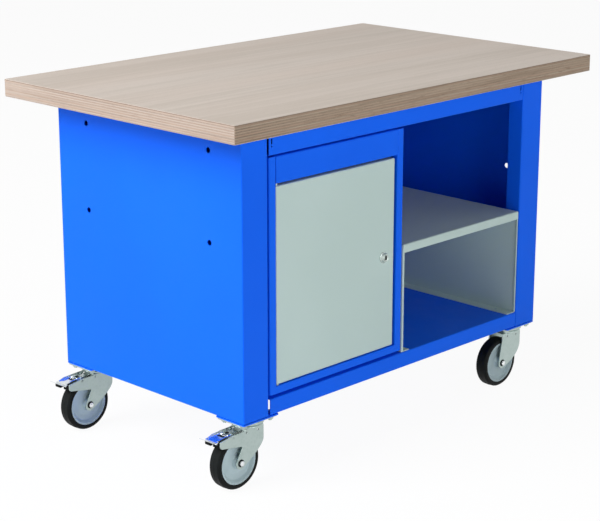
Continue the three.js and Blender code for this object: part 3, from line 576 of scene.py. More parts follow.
class Nodes:
    """A node tree, with short calls that add to it."""

    def __init__(self, tree):
        self.tree = tree

    def feed(self, socket, value):
        """Links a socket to another one, or sets its value."""
        if isinstance(value, bpy.types.NodeSocket):
            self.tree.links.new(value, socket)
        else:
            socket.default_value = value

    def add(self, kind, inputs=None, **settings):
        """New node with its settings made and its inputs fed."""
        node = self.tree.nodes.new(kind)
        for key, value in settings.items():
            setattr(node, key, value)
        for key, value in (inputs or {}).items():
            self.feed(node.inputs[key], value)
        return node

    def maths(self, operation, *terms):
        """Result of a Math node over sockets and numbers."""
        return self.add("ShaderNodeMath", dict(enumerate(terms)), operation=operation).outputs[0]

    def split_rays(self, lit, seen, share, output):
        """Shows one shader to the eye and in mirrors, and another to the rays that carry light."""
        path = self.add("ShaderNodeLightPath").outputs
        looking = path["Is Camera Ray"]
        for name in ("Is Glossy Ray", "Is Transmission Ray"):
            looking = self.maths("MAXIMUM", looking, path[name])
        factor = self.maths("MULTIPLY", looking, share)
        mix = self.add("ShaderNodeMixShader", {0: factor, 1: lit.outputs[0], 2: seen.outputs[0]})
        self.feed(self.tree.nodes[output].inputs["Surface"], mix.outputs[0])


class Look(Nodes):
    """Procedural material on the object's own coordinates, which are metres."""

    def __init__(self, name, roughness, metallic=0.0, specular=0.5):
        self.material = bpy.data.materials.new(name)
        self.material.use_nodes = True
        super().__init__(self.material.node_tree)
        self.shader = self.tree.nodes["Principled BSDF"]
        self.show("Metallic", metallic)
        self.show("Specular IOR Level", specular)
        self.show("Roughness", roughness)
        self.coords = self.add("ShaderNodeTexCoord").outputs["Object"]

    def show(self, key, value):
        """Sets or links an input of the shader."""
        self.feed(self.shader.inputs[key], value)

    def noise(self, scale=1.0, stretch=(1, 1, 1), detail=2.0, warp=0.0, coords=None):
        """Cloudy noise, stretched along the axes where it is a grain."""
        place = self.add("ShaderNodeMapping", {"Vector": coords or self.coords, "Scale": stretch})
        settings = {"Vector": place.outputs[0], "Scale": scale, "Detail": detail, "Distortion": warp}
        return self.add("ShaderNodeTexNoise", settings).outputs[0]

    def remap(self, value, low, high, start=0.3, stop=0.7):
        """Smooth step from low to high while the value goes from start to stop."""
        steps = {"Value": value, "From Min": start, "From Max": stop, "To Min": low, "To Max": high}
        return self.add("ShaderNodeMapRange", steps, interpolation_type="SMOOTHSTEP").outputs[0]

    def blend(self, share, first, second):
        """Mix of two colours by a share."""
        return self.add("ShaderNodeMix", {0: share, 6: first, 7: second}, data_type="RGBA").outputs[2]

    def tones(self, value, tones, **limits):
        """Colour between two tones by a cloudy value."""
        share = self.remap(value, 0, 1, **limits)
        self.show("Base Color", self.blend(share, *(srgb(tone) for tone in tones)))

    def rough(self, value, low, high):
        """Roughness between two limits by a cloudy value."""
        self.show("Roughness", self.remap(value, low, high))

    def relief(self, *layers):
        """Bump from (height, depth in millimetres) layers, one over the other."""
        under = {}
        for height, depth in layers:
            node = self.add("ShaderNodeBump", {"Height": height, "Distance": depth * MM, **under})
            under = {"Normal": node.outputs[0]}
        self.show("Normal", node.outputs[0])


def powder_coat(name, tones, roughness):
    """Stoved paint: slight orange peel, faint clouding and uneven gloss."""
    look = Look(name, roughness, specular=0.08)
    cloud = look.noise(scale=2.3, detail=3)
    peel = look.noise(scale=430, detail=1)
    look.tones(cloud, tones)
    look.rough(look.noise(scale=9, detail=4), roughness - 0.05, roughness + 0.06)
    look.relief((peel, 0.035), (look.noise(scale=90), 0.05))
    return look.material


def beech_face():
    """Top veneer: long soft bands, finer streaks and short dark flecks along X."""
    look = Look("beech_face", 0.5, specular=0.05)
    broad = look.noise(stretch=(0.7, 9, 4), detail=3, warp=0.5)
    streak = look.noise(stretch=(2.4, 70, 40), detail=4, warp=0.3)
    fibre = look.noise(stretch=(9, 620, 400), detail=3)
    fleck = look.noise(stretch=(110, 1500, 900), detail=1)
    tint = look.noise(stretch=(0.5, 5, 3), detail=1)
    tone = look.maths("MULTIPLY_ADD", streak, 0.45, look.maths("MULTIPLY", broad, 0.4))
    tone = look.maths("MULTIPLY_ADD", fibre, 0.15, tone)
    deep, light = VENEER_TONES
    base = look.blend(look.remap(tone, 0, 1, start=0.38, stop=0.62), srgb(deep), srgb(light))
    base = look.blend(look.remap(tint, 0, 0.3), base, srgb(VENEER_TINT))
    base = look.blend(look.remap(fleck, 0, 0.35, start=0.62, stop=0.74), base, srgb(VENEER_FLECK))
    look.show("Base Color", base)
    look.rough(streak, 0.42, 0.58)
    look.relief((fibre, 0.04), (fleck, -0.03))
    return look.material


def beech_edge(name, parity, contrast, tones):
    """Cut edge of the board: plies along and across the grain, with dark glue lines."""
    pale, mid, deep, warm = (srgb(tone) for tone in tones)
    look = Look(name, 0.6, specular=0.12)
    low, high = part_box("worktop")
    parts = look.add("ShaderNodeSeparateXYZ", {0: look.coords}).outputs
    wander = look.noise(stretch=(3.5, 3.5, 30))
    height = look.maths("MULTIPLY_ADD", wander, PLY_WANDER * MM, parts["Z"])
    ply = look.maths("MULTIPLY", look.maths("SUBTRACT", height, low[2]), PLIES / (high[2] - low[2]))
    number = look.maths("FLOOR", ply)
    odd = look.maths("PINGPONG", look.maths("ADD", number, parity), 1.0)
    glue = look.maths("ABSOLUTE", look.maths("SUBTRACT", look.maths("FRACT", ply), 0.5))
    own = look.add("ShaderNodeTexWhiteNoise", {"W": number}, noise_dimensions="1D").outputs["Value"]

    # Coordinates along the edge, up it and from ply to ply
    run, shift = look.maths("ADD", parts["X"], parts["Y"]), look.maths("MULTIPLY", number, PLY_SHIFT)
    along = look.add("ShaderNodeCombineXYZ", {0: run, 1: height, 2: shift}).outputs[0]
    streak = look.noise(stretch=(7, 1700, 40), detail=3, coords=along)
    pores = look.noise(stretch=(750, 1300, 40), coords=along)
    patch = look.noise(stretch=(4, 160, 40), coords=along)
    dash = look.noise(stretch=(34, 620, 40), coords=along)
    fade = look.noise(stretch=(2.1, 2.1, 5), detail=1)

    light = look.blend(look.remap(streak, 0, 1), mid, pale)
    dark = look.blend(look.remap(pores, 0, 1), deep, mid)
    base = look.blend(look.maths("MULTIPLY", odd, look.remap(fade, 0.2 * contrast, contrast)), light, dark)
    base = look.blend(look.remap(own, 0, 0.6, start=0.45, stop=0.9), base, warm)
    for share in (look.remap(patch, 0.4 * contrast, 0, start=0.3, stop=0.5),
                  look.remap(dash, 0, 0.6 * contrast, start=0.57, stop=0.72),
                  look.remap(glue, 0, 0.3 * contrast, start=0.4, stop=0.49),
                  look.remap(ply, 0, 0.7 * contrast, start=PLIES - 1.2, stop=PLIES - 0.5)):
        base = look.blend(share, base, deep)
    look.show("Base Color", base)
    look.relief((look.blend(odd, streak, pores), 0.06))
    return look.material


def zinc_plate():
    """Zinc-plated steel: faint crystal patches and uneven gloss."""
    look = Look("zinc_plate", 0.4, metallic=1.0)
    cells = look.add("ShaderNodeTexVoronoi", {"Scale": 190, "Vector": look.coords}, feature="SMOOTH_F1")
    patch = look.noise(scale=55, detail=4)
    mixed = look.maths("MULTIPLY_ADD", cells.outputs["Distance"], 0.35, look.maths("MULTIPLY", patch, 0.65))
    look.tones(mixed, ZINC_TONES, start=0.25, stop=0.6)
    look.rough(patch, 0.34, 0.5)
    look.relief((look.noise(scale=700), 0.02))
    return look.material


def bright_chrome():
    """Polished plating with hair scratches."""
    look = Look("bright_chrome", 0.2, metallic=1.0)
    smear = look.noise(scale=40, detail=3)
    look.tones(smear, CHROME_TONES)
    look.rough(smear, 0.14, 0.28)
    look.relief((look.noise(stretch=(60, 2600, 2600)), 0.006))
    return look.material


def dull_nickel():
    """Satin plating with a fine grain."""
    look = Look("dull_nickel", 0.3, metallic=1.0)
    smear = look.noise(scale=300, detail=3)
    look.tones(smear, NICKEL_TONES)
    look.rough(smear, 0.24, 0.36)
    look.relief((look.noise(scale=2400), 0.008))
    return look.material


def rim_plastic():
    """Moulded plastic with a fine grain."""
    look = Look("rim_plastic", 0.45, specular=0.35)
    look.tones(look.noise(scale=28, detail=3), PLASTIC_TONES)
    look.rough(look.noise(scale=70), 0.38, 0.52)
    look.relief((look.noise(scale=1500, detail=1), 0.025))
    return look.material


def black_rubber(name, roughness):
    """Rubber with a dull bloom and a fine grain."""
    look = Look(name, roughness, specular=0.12)
    bloom = look.noise(scale=35, detail=5)
    look.tones(bloom, RUBBER_AND_PAINTED_SHADE_TONES, start=0.4, stop=0.75)
    look.rough(bloom, roughness - 0.08, roughness + 0.1)
    look.relief((look.noise(scale=1100), 0.05), (look.noise(scale=160), 0.08))
    return look.material


# Finishes: the record's slot, then the materials that show it
BLUE = ("blue_paint", powder_coat("blue_paint", BLUE_TONES, 0.4))
GREY = ("grey_paint", powder_coat("grey_paint", GREY_TONES, 0.46))
ZINC = ("zinc", zinc_plate())
CHROME = ("chrome", bright_chrome())
NICKEL = ("chrome", dull_nickel())
PLASTIC = ("rim_plastic", rim_plastic())
TYRE = ("tyre", black_rubber("tyre_rubber", 0.55))
# Black rubber: the real brake shoe and bumper, and painted shade in the key slot, pedal openings and round
# axle nuts
RUBBER_AND_PAINTED_SHADE = ("rubber", black_rubber("brake_rubber_and_painted_shade", 0.7))
# Chrome, with black rubber on the axle washers and shaft as painted shade round the nuts
CHROME_AND_PAINTED_SHADE = (*CHROME, RUBBER_AND_PAINTED_SHADE[1])
# Nickel, with black rubber inside the key slot as painted shade
NICKEL_AND_PAINTED_SHADE = (*NICKEL, RUBBER_AND_PAINTED_SHADE[1])
BEECH = ("beech", beech_face(), beech_edge("beech_edge_end", 1.0, 0.8, END_TONES),
         beech_edge("beech_edge_long", 0.0, 1.0, LONG_TONES))


# Worktop

def worktop():
    """Board with veneer above and below and plies round the edges."""
    x0, x1, y0, y1, z0, z1 = span("worktop")
    board = prism(rectangle(x1 - x0, y1 - y0, TOP_CORNER), "Z", z0, z1)
    soften(board, TOP_ROUND, segments=3)
    piece(board, "top_board", BEECH, "bench", "worktop")
    for face in board.data.polygons:
        x, y, z = (abs(c) for c in face.normal)
        face.material_index = 0 if z > TOP_FACING else 1 if x > y else 2


# Frame and cabinet, folded from sheet

def side_panel(node, side):
    """Side with folded posts, a flange along top and bottom, and four holes."""
    x0, x1, y0, y1, z0, z1 = span(node)
    outer, inner = (x0, x1) if side < 0 else (x1, x0)
    web, post = outer - side * HALF, inner + side * HALF
    front, rear = y0 + HALF, y1 - HALF
    outline = strip([(post, y0 + POST_RETURN), (post, front), (web, front),
                     (web, rear), (post, rear), (post, y1 - POST_RETURN)])
    panel = prism(outline, "Z", z0, z1)
    flange = sorted((web, outer - side * PANEL_FLANGE))
    end = y1 - POST_RETURN - SHEET
    combine("UNION", panel, *[block(*flange, -end, end, low, low + SHEET) for low in (z1 - SHEET, z0)])
    drill(panel, PANEL_HOLE, "X", web - SHEET, web + SHEET, *[(y, z1 - drop) for y, drop in PANEL_HOLES])
    piece(soften(panel), node + "_sheet", BLUE, "bench", node)


def rail(node, side):
    """Front or rear rail with a slot and a hole near each end."""
    x0, x1, y0, y1, z0, z1 = span(node)
    outer, inner = (y0, y1) if side < 0 else (y1, y0)
    face = outer - side * HALF
    body = prism(lipped(face, inner, outer - side * RAIL_RETURN, z0, z1), "X", x0, x1)
    z = (z0 + z1) / 2
    cutters = []
    for x in (x0 + RAIL_SLOT_INSET, x1 - RAIL_SLOT_INSET):
        slot = rectangle(*RAIL_SLOT, RAIL_SLOT_ROUND, (x, z))
        hole = ring(RAIL_HOLE / 2, (x, z - RAIL_HOLE_DROP))
        cutters += [prism(shape, "Y", face - SHEET, face + SHEET) for shape in (slot, hole)]
    combine("DIFFERENCE", body, *cutters)
    piece(soften(body), node + "_sheet", BLUE, "bench", node)


def base_panel():
    """Floor of the bench with its front and rear edges turned down."""
    x0, x1, y0, y1, z0, z1 = span("base_panel")
    panel = prism(channel(y0, y1, z0, z1, BASE_RETURN), "X", x0, x1)
    piece(soften(panel), "base_sheet", BLUE, "bench", "base_panel")


def back_panel():
    """Back with its sides turned in."""
    x0, x1, y0, y1, z0, z1 = span("back_panel")
    outline = strip([(x0 + HALF, y0), (x0 + HALF, y1 - HALF), (x1 - HALF, y1 - HALF), (x1 - HALF, y0)])
    piece(soften(prism(outline, "Z", z0, z1)), "back_sheet", BLUE, "bench", "back_panel")


def cabinet_shell():
    """Cabinet with front flanges, floor, top, a rail below the door and two skids."""
    x0, x1, y0, y1, z0, z1 = span("cabinet_shell")
    low, fold = z0 + CABINET_LIFT, y0 + FLANGE_RETURN
    left, right, front, rear = x0 + HALF, x1 - HALF, y0 + HALF, y1 - HALF
    a, b = x0 + FLANGE_WIDTH - HALF, x1 - FLANGE_WIDTH + HALF
    outline = strip([(a, fold), (a, front), (left, front), (left, rear),
                     (right, rear), (right, front), (b, front), (b, fold)])
    shell = prism(outline, "Z", low, z1)
    sill = low + BOTTOM_RAIL - HALF
    bottom_rail = strip([(front, low), (front, sill), (fold, sill)])
    skid = (y0 + SKID_SETBACK, y1 - SKID_SETBACK, z0, low + CABINET_LIFT)
    combine(
        "UNION", shell,
        block(left, right, front, rear, low, low + SHEET),
        block(left, right, y0 + SHEET + BEND, rear, z1 - 2 * SHEET, z1 - SHEET),
        prism(bottom_rail, "X", x0 + RAIL_LAP, x1 - RAIL_LAP),
        block(x0, x0 + SHEET, *skid),
        block(x1 - SHEET, x1, *skid),
    )
    piece(soften(shell), "cabinet_sheet", BLUE, "bench", "cabinet_shell")


def fascia():
    """Strip above the door."""
    x0, x1, y0, y1, z0, z1 = span("cabinet_fascia")
    sheet = prism(lipped(y0 + HALF, y1, y0 + FASCIA_RETURN, z0, z1), "X", x0, x1)
    piece(soften(sheet), "fascia_sheet", BLUE, "bench", "cabinet_fascia")


def cabinet_shelf():
    """Shelf behind the door and the two angles that carry it."""
    x0, x1, y0, y1, z0, z1 = span("cabinet_shelf")
    shelf = prism(channel(y0, y1, z0, z1, SHELF_RETURN), "X", x0, x1)
    piece(soften(shelf), "shelf_sheet", GREY, "bench", "cabinet_shelf")
    for node in ("shelf_bracket_left", "shelf_bracket_right"):
        x0, x1, y0, y1, z0, z1 = span(node)
        wall, toe = (x0 + HALF, x1) if node.endswith("left") else (x1 - HALF, x0)
        angle = prism(strip([(wall, z0), (wall, z1 - HALF), (toe, z1 - HALF)]), "Y", y0, y1)
        piece(soften(angle), node + "_sheet", ZINC, "bench", node)


def shelf_insert():
    """Shelf of the open side, folded with its walls, feet and front edges."""
    x0, x1, y0, y1, z0, z1 = span("shelf_insert")
    left, right, front, start = x0 + HALF, x1 - HALF, y0 + HALF, y0 + SHEET + BEND
    back = start + OVERLAP / 2
    body = prism(channel(x0, x1, z0, z1, INSERT_FOOT), "Y", start, y1)
    lip = strip([(front, z1 - INSERT_LIP), (front, z1 - HALF), (back, z1 - HALF)])
    edges = [strip([(wall, back), (wall, front), (toe, front)])
             for wall, toe in ((left, x0 + INSERT_EDGE), (right, x1 - INSERT_EDGE))]
    combine("UNION", body, prism(lip, "X", left, right),
            *[prism(edge, "Z", z0 + SHEET + BEND, z1 - INSERT_LIP / 2) for edge in edges])
    inset, setback = INSERT_HOLE_INSET
    holes = [(x, y) for x in (x0 + inset, x1 - inset) for y in (y0 + setback, y1 - setback)]
    drill(body, INSERT_HOLE, "Z", z0 - SHEET, z0 + 2 * SHEET, *holes)
    piece(soften(body), "insert_sheet", GREY, "bench", "shelf_insert")


# Door and lock

def door():
    """Pan folded from one sheet, with a lip round the back and the lock's hole."""
    x0, x1, y0, y1, z0, z1 = span("door_panel")
    verts = []
    for y, inset in ((y0, 0), (y1, 0), (y1, DOOR_LIP)):
        left, right, low, high = x0 + inset, x1 - inset, z0 + inset, z1 - inset
        verts += [(left, y, low), (right, y, low), (right, y, high), (left, y, high)]
    faces = [[3, 2, 1, 0]]
    faces += [[i + k, i + (k + 1) % 4, i + 4 + (k + 1) % 4, i + 4 + k] for i in (0, 4) for k in range(4)]
    pan = new_object("pan", verts, faces)
    with editing(pan.data) as shape:
        folds = [e for e in shape.edges if e.is_manifold and e.calc_face_angle() > math.radians(EDGE_ANGLE)]
        bmesh.ops.bevel(shape, geom=folds, offset=DOOR_ROUND * MM, segments=5, affect="EDGES", profile=0.5)
        bmesh.ops.recalc_face_normals(shape, faces=shape.faces)
        front = min(shape.faces, key=lambda face: face.calc_center_median().y)
        if front.normal.y > 0:
            bmesh.ops.reverse_faces(shape, faces=shape.faces)
    gauge = pan.modifiers.new("gauge", "SOLIDIFY")
    gauge.thickness = SHEET * MM
    gauge.offset = -1
    settle(pan)
    x, _, z = middle("lock_plug")
    drill(pan, LOCK_HOLE, "Y", y0 - SHEET, y0 + 2 * SHEET, (x, z))
    piece(soften(pan), "door_pan", GREY, "door", "door_panel")


def lock_rosette(centre, face):
    """Turned rosette with a dished front, and its barrel through the door."""
    x0, x1, front, rear, *_ = span("lock_housing")
    base, bore, barrel = (x1 - x0) / 2, LOCK_BORE / 2, LOCK_BARREL / 2
    profile = [(bore + out, front + depth) for out, depth in LOCK_DISH]
    profile += [(base - inset, face - rise) for inset, rise in LOCK_COLLAR]
    profile += [(barrel, face), (barrel, rear), (bore, rear)]
    rosette = lathe(fillet(profile, LOCK_ROUNDS, steps=5), "Y", centre, TURN_STEPS, looped=True)
    piece(soften(rosette, 0), "lock_rosette", NICKEL, "door", "lock_housing")


def lock_ring_nut(spot, face):
    """Nut that holds the rosette from inside the door."""
    x0, x1, y0, y1, *_ = span("lock_nut")
    nut = prism(hexagon((x1 - x0) / 2, spot), "Y", y0, y1)
    drill(nut, LOCK_NUT_HOLE, "Y", face, span("lock_housing")[3], spot)
    piece(soften(nut, LOCK_NUT_EDGE), "lock_ring_nut", ZINC, "door", "lock_nut")


def lock_cylinder(centre, face):
    """Cylinder that turns in the rosette, with the inside of its key slot painted black as shade."""
    x, _, z = centre
    front = span("lock_housing")[2]
    start, shoulder, rear = front + PLUG_SINK, face + LOCK_CAM_FACE, span("lock_plug")[3]
    radius, tail = PLUG / 2, LOCK_TAIL / 2
    profile = [(0, start), (radius, start), (radius, shoulder), (tail, shoulder), (tail, rear), (0, rear)]
    plug = lathe(fillet(profile, PLUG_ROUNDS, steps=4), "Y", centre)
    width, length, depth = KEY_SLOT
    slot = rectangle(width, length, KEY_SLOT_ROUND, (x, z))
    combine("DIFFERENCE", plug, prism(slot, "Y", front - OVERLAP, front + depth))
    piece(soften(plug, PLUG_EDGE), "lock_cylinder", NICKEL_AND_PAINTED_SHADE, "lock", "lock_plug")
    # The key slot's walls and floor get black rubber: painted shade inside the slot
    for facet in plug.data.polygons:
        spot = facet.center / MM
        inside = abs(spot.x - x) < width / 2 + NEAR and abs(spot.z - z) < length / 2 + NEAR
        deep = start + KEY_SLOT_EDGE < spot.y < front + depth + KEY_SLOT_EDGE
        facet.material_index = int(inside and deep)


def lock_tongue(spot):
    """Flat cam on the cylinder's tail, which holds the door shut."""
    x0, x1, y0, y1, z0, z1 = span("lock_cam")
    outline = fillet([(x0, z1), (x1, z1), (x1, z0), (x0, z0)], LOCK_CAM_ROUNDS, steps=10)
    tongue = prism(outline, "Y", y0, y1)
    drill(tongue, LOCK_CAM_HOLE, "Y", y0 - OVERLAP, y1 + OVERLAP, spot)
    piece(soften(tongue, FINE_EDGE), "lock_tongue", ZINC, "lock", "lock_cam")


def lock():
    """All pieces of the lock, about the middle of its housing."""
    x0, x1, _, _, z0, z1 = span("lock_housing")
    x, z = (x0 + x1) / 2, (z0 + z1) / 2
    face = span("door_panel")[2]
    lock_rosette((x, 0, z), face)
    lock_ring_nut((x, z), face)
    lock_cylinder((x, 0, z), face)
    lock_tongue((x, z))


# Nuts, washers and bolts

def hex_solid(across, axis, low, high, centre):
    """Hexagon nut or bolt head with its corners turned off at both ends."""
    radius = across / math.sqrt(3)
    end, clear = radius - HEX_CHAMFER, radius + HEX_CLEAR
    cone = [(0, low), (end, low), (clear, low + HEX_CHAMFER),
            (clear, high - HEX_CHAMFER), (end, high), (0, high)]
    solid = prism(hexagon(radius, centre), axis, low, high)
    return combine("INTERSECT", solid, lathe(cone, axis, PLACE[axis](*centre, 0), steps=48))


def washer(diameter, axis, low, high, centre, rounds):
    """Flat disc with its rim rounded."""
    radius = diameter / 2
    profile = fillet([(0, low), (radius, low), (radius, high), (0, high)], rounds, steps=3)
    return lathe(profile, axis, PLACE[axis](*centre, 0), steps=40)


def caster_bolts(local):
    """Four bolts through both plates, with washers and nuts below."""
    plate_bottom = local.plate_top - PLATE_SHEET
    washer_bottom = plate_bottom - WASHER_SHEET
    nut_bottom = washer_bottom - NUT_HEIGHT
    tip, head = nut_bottom - BOLT_TIP, local.corner_top
    radius = BOLT / 2
    shank = [(0, tip), (radius - BOLT_CHAMFER, tip), (radius, tip + BOLT_CHAMFER), (radius, head), (0, head)]
    parts = []
    for spot in BOLTS:
        parts += [
            washer(WASHER, "Z", washer_bottom, plate_bottom, spot, WASHER_ROUNDS),
            hex_solid(NUT_ACROSS, "Z", nut_bottom, washer_bottom, spot),
            lathe(shank, "Z", (*spot, 0), steps=32),
            hex_solid(NUT_ACROSS, "Z", head, head + BOLT_HEAD, spot),
        ]
    return soften(merge(*parts), 0)


def axle_bolt(local):
    """Axle across the fork with a washer and a nut on each side."""
    spot = local.axle.xz
    face = FORK_WIDTH / 2
    seat = face + WASHER_SHEET
    end = [(radius, face + reach) for radius, reach in AXLE_END]
    parts = [lathe(mirrored(end), "Y", local.axle, steps=32)]
    for side in (-1, 1):
        low, high = sorted((side * face, side * seat))
        parts.append(washer(AXLE_WASHER, "Y", low, high, spot, AXLE_ROUNDS))
        low, high = sorted((side * seat, side * (seat + AXLE_NUT_HEIGHT)))
        parts.append(hex_solid(AXLE_NUT_ACROSS, "Y", low, high, spot))
    return soften(merge(*parts), 0)


# Wheels

def wheel_part(local, half, rounds, corner_steps=6, steps=WHEEL_STEPS):
    """Ring about the axle, from half of its profile."""
    profile = fillet(mirrored(half), rounds[::-1] + rounds, corner_steps)
    return soften(lathe(profile, "Y", local.axle, steps, looped=True), 0)


def tyre(local):
    """Rubber tread with round shoulders, a bead by the rim and a fine mould line."""
    outer, inner, wall = local.axle.z, RIM / 2 + TYRE_FIT, local.tyre / 2
    half = [(outer - drop, place) for drop, place in TYRE_LINE]
    half += [(outer - drop, wall - back) for drop, back in TYRE_SIDE]
    half += [(inner + rise, wall - back) for rise, back in TYRE_BEAD]
    return wheel_part(local, half, TYRE_ROUNDS)


def rim(local):
    """Dished disc with a raised outer band and a hub."""
    outer, wall = RIM / 2, local.tyre / 2 - RIM_SETBACK
    half = [(outer - drop, wall - back) for drop, back in RIM_BAND]
    half += [(outer - drop, RIM_WEB / 2 + rise) for drop, rise in RIM_DISH]
    half += [(radius, local.rim / 2) for radius in (HUB / 2, HUB_BORE / 2)]
    return wheel_part(local, half, RIM_ROUNDS)


def bush(local):
    """Plain bearing between the axle and the hub."""
    half = [(radius, local.bush / 2) for radius in (BUSH / 2, BUSH_BORE / 2)]
    return wheel_part(local, half, BUSH_ROUNDS, corner_steps=4, steps=48)


# Casters

def leg_outline(local, crown, braked):
    """Side view of a fork leg; a braked one has an arm for the pedal."""
    axle_x, _, axle_z = local.axle
    angle = math.radians(BRAKED_LEG_ANGLE if braked else LEG_ANGLE)
    end = (axle_x + LEG_END * math.cos(angle), axle_z - LEG_END * math.sin(angle))
    belly = end[1] + (FORK_FRONT - end[0]) / math.tan(angle)
    shoulder = PEDAL_START - FORK_BEND - ARM_CREST if braked else FORK_BACK
    above = crown + FORK_SHEET
    outline = [(FORK_TRIM - shoulder, crown + FORK_TRIM), (FORK_TRIM - shoulder, above), (FORK_FRONT, above)]
    outline += bow((FORK_FRONT, max(crown - LEG_STRAIGHT, belly)), (FORK_FRONT, belly), end)
    turns = [-angle + (angle - math.pi) * (k + 1) / ARC_STEPS for k in range(ARC_STEPS)]
    outline += polar(local.axle.xz, LEG_END, turns)
    if not braked:
        tyre_top = 2 * axle_z
        return outline + [(-FORK_BACK, tyre_top)]
    pin_x, _, pin_z = local.pin
    arm, tip, top = axle_z + ARM_RISE, axle_z + ARM_TIP_RISE, pin_z + ARM_CREST
    notch, reach = -ARM_NOTCH, -ARM_REACH
    outline += bow((notch, arm - FORK_SHEET), (notch, arm), (notch - FORK_SHEET, arm), steps=6)
    outline += bow((reach + ARM_TIP_ROUND, tip), (reach, tip), (reach, tip + ARM_TIP_ROUND), steps=8)
    outline += [(reach, tip + ARM_TIP_HEIGHT)]
    outline += bow((pin_x - ARM_CREST, top - ARM_DROP), (pin_x, top), (pin_x + ARM_CREST, top), steps=8)
    return outline + [(-shoulder - FORK_BEND, top)]


def fork(local, braked):
    """Fork folded over the wheel, with the lower race pressed on top."""
    crown = local.race - RACE_RISE
    top = crown - FORK_SHEET / 2
    half = FORK_WIDTH / 2 - FORK_SHEET / 2
    cross = strip([(-half, 0), (-half, top), (half, top), (half, 0)], FORK_SHEET, FORK_BEND, steps=8)
    body = prism(cross, "X", -2 * ARM_REACH, ARM_REACH)
    combine("INTERSECT", body, prism(leg_outline(local, crown, braked), "Y", -ARM_REACH, ARM_REACH))
    radius, bore, under = RACE / 2, RACE_BORE / 2, crown - OVERLAP
    race = [(bore, under), (radius, under), (radius, crown + RACE_WALL),
            (radius - RACE_SLOPE, local.race), (bore, local.race)]
    combine("UNION", body, lathe(fillet(race, RACE_ROUNDS, steps=5), steps=TURN_STEPS, looped=True))
    drill(body, FORK_HOLE, "Y", -FORK_WIDTH, FORK_WIDTH, *FORK_HOLES)
    return soften(body, HEAVY_EDGE, segments=3)


def seat_plate(width, depth, low, high):
    """Corner plate with a rebate along its upper edge, which shows as a seam."""
    plate = prism(rectangle(width, depth, PLATE_CORNER), "Z", low, high - SEAM)
    inset = rectangle(width - 2 * SEAM_DEPTH, depth - 2 * SEAM_DEPTH, PLATE_CORNER)
    return soften(combine("UNION", plate, prism(inset, "Z", low + OVERLAP, high)), HEAVY_EDGE)


def caster_head(local):
    """Top plate with the upper race pressed below it."""
    bottom, top = local.head, local.plate_top
    plate_bottom = top - PLATE_SHEET
    joint = plate_bottom + OVERLAP
    radius = HEAD / 2
    race = [(0, bottom), (radius - HEAD_SLOPE, bottom), (radius - HEAD_TAPER, bottom + HEAD_FOOT),
            (radius, plate_bottom - HEAD_SLOPE), (radius - HEAD_SLOPE, joint), (0, joint)]
    pressed = lathe(fillet(race, HEAD_ROUNDS, steps=5), steps=TURN_STEPS)
    plate = prism(rectangle(*local.plate, PLATE_CORNER), "Z", plate_bottom, top)
    return soften(combine("UNION", plate, pressed), HEAVY_EDGE)


def kingpin(local):
    """Rivet that the fork swivels on, with a domed head below."""
    low, high = local.king
    radius, head, seat = KING / 2, KING_HEAD / 2, low + KING_SEAT
    profile = [(0, low), (radius, low), (head, low + KING_DOME), (head, seat),
               (radius, seat), (radius, high), (0, high)]
    return soften(lathe(fillet(profile, KING_ROUNDS), steps=48), 0)


def pedal_openings(pin_x, fit=0):
    """Outlines of the pedal's window and slot, made smaller by a fit."""
    side = PEDAL_WINDOW - fit
    width, length = (size - fit for size in PEDAL_SLOT)
    return [rectangle(side, side, PEDAL_WINDOW_ROUND, (pin_x, 0)),
            rectangle(width, length, PEDAL_SLOT_ROUND - fit / 2, (pin_x - PEDAL_SLOT_OFFSET, 0))]


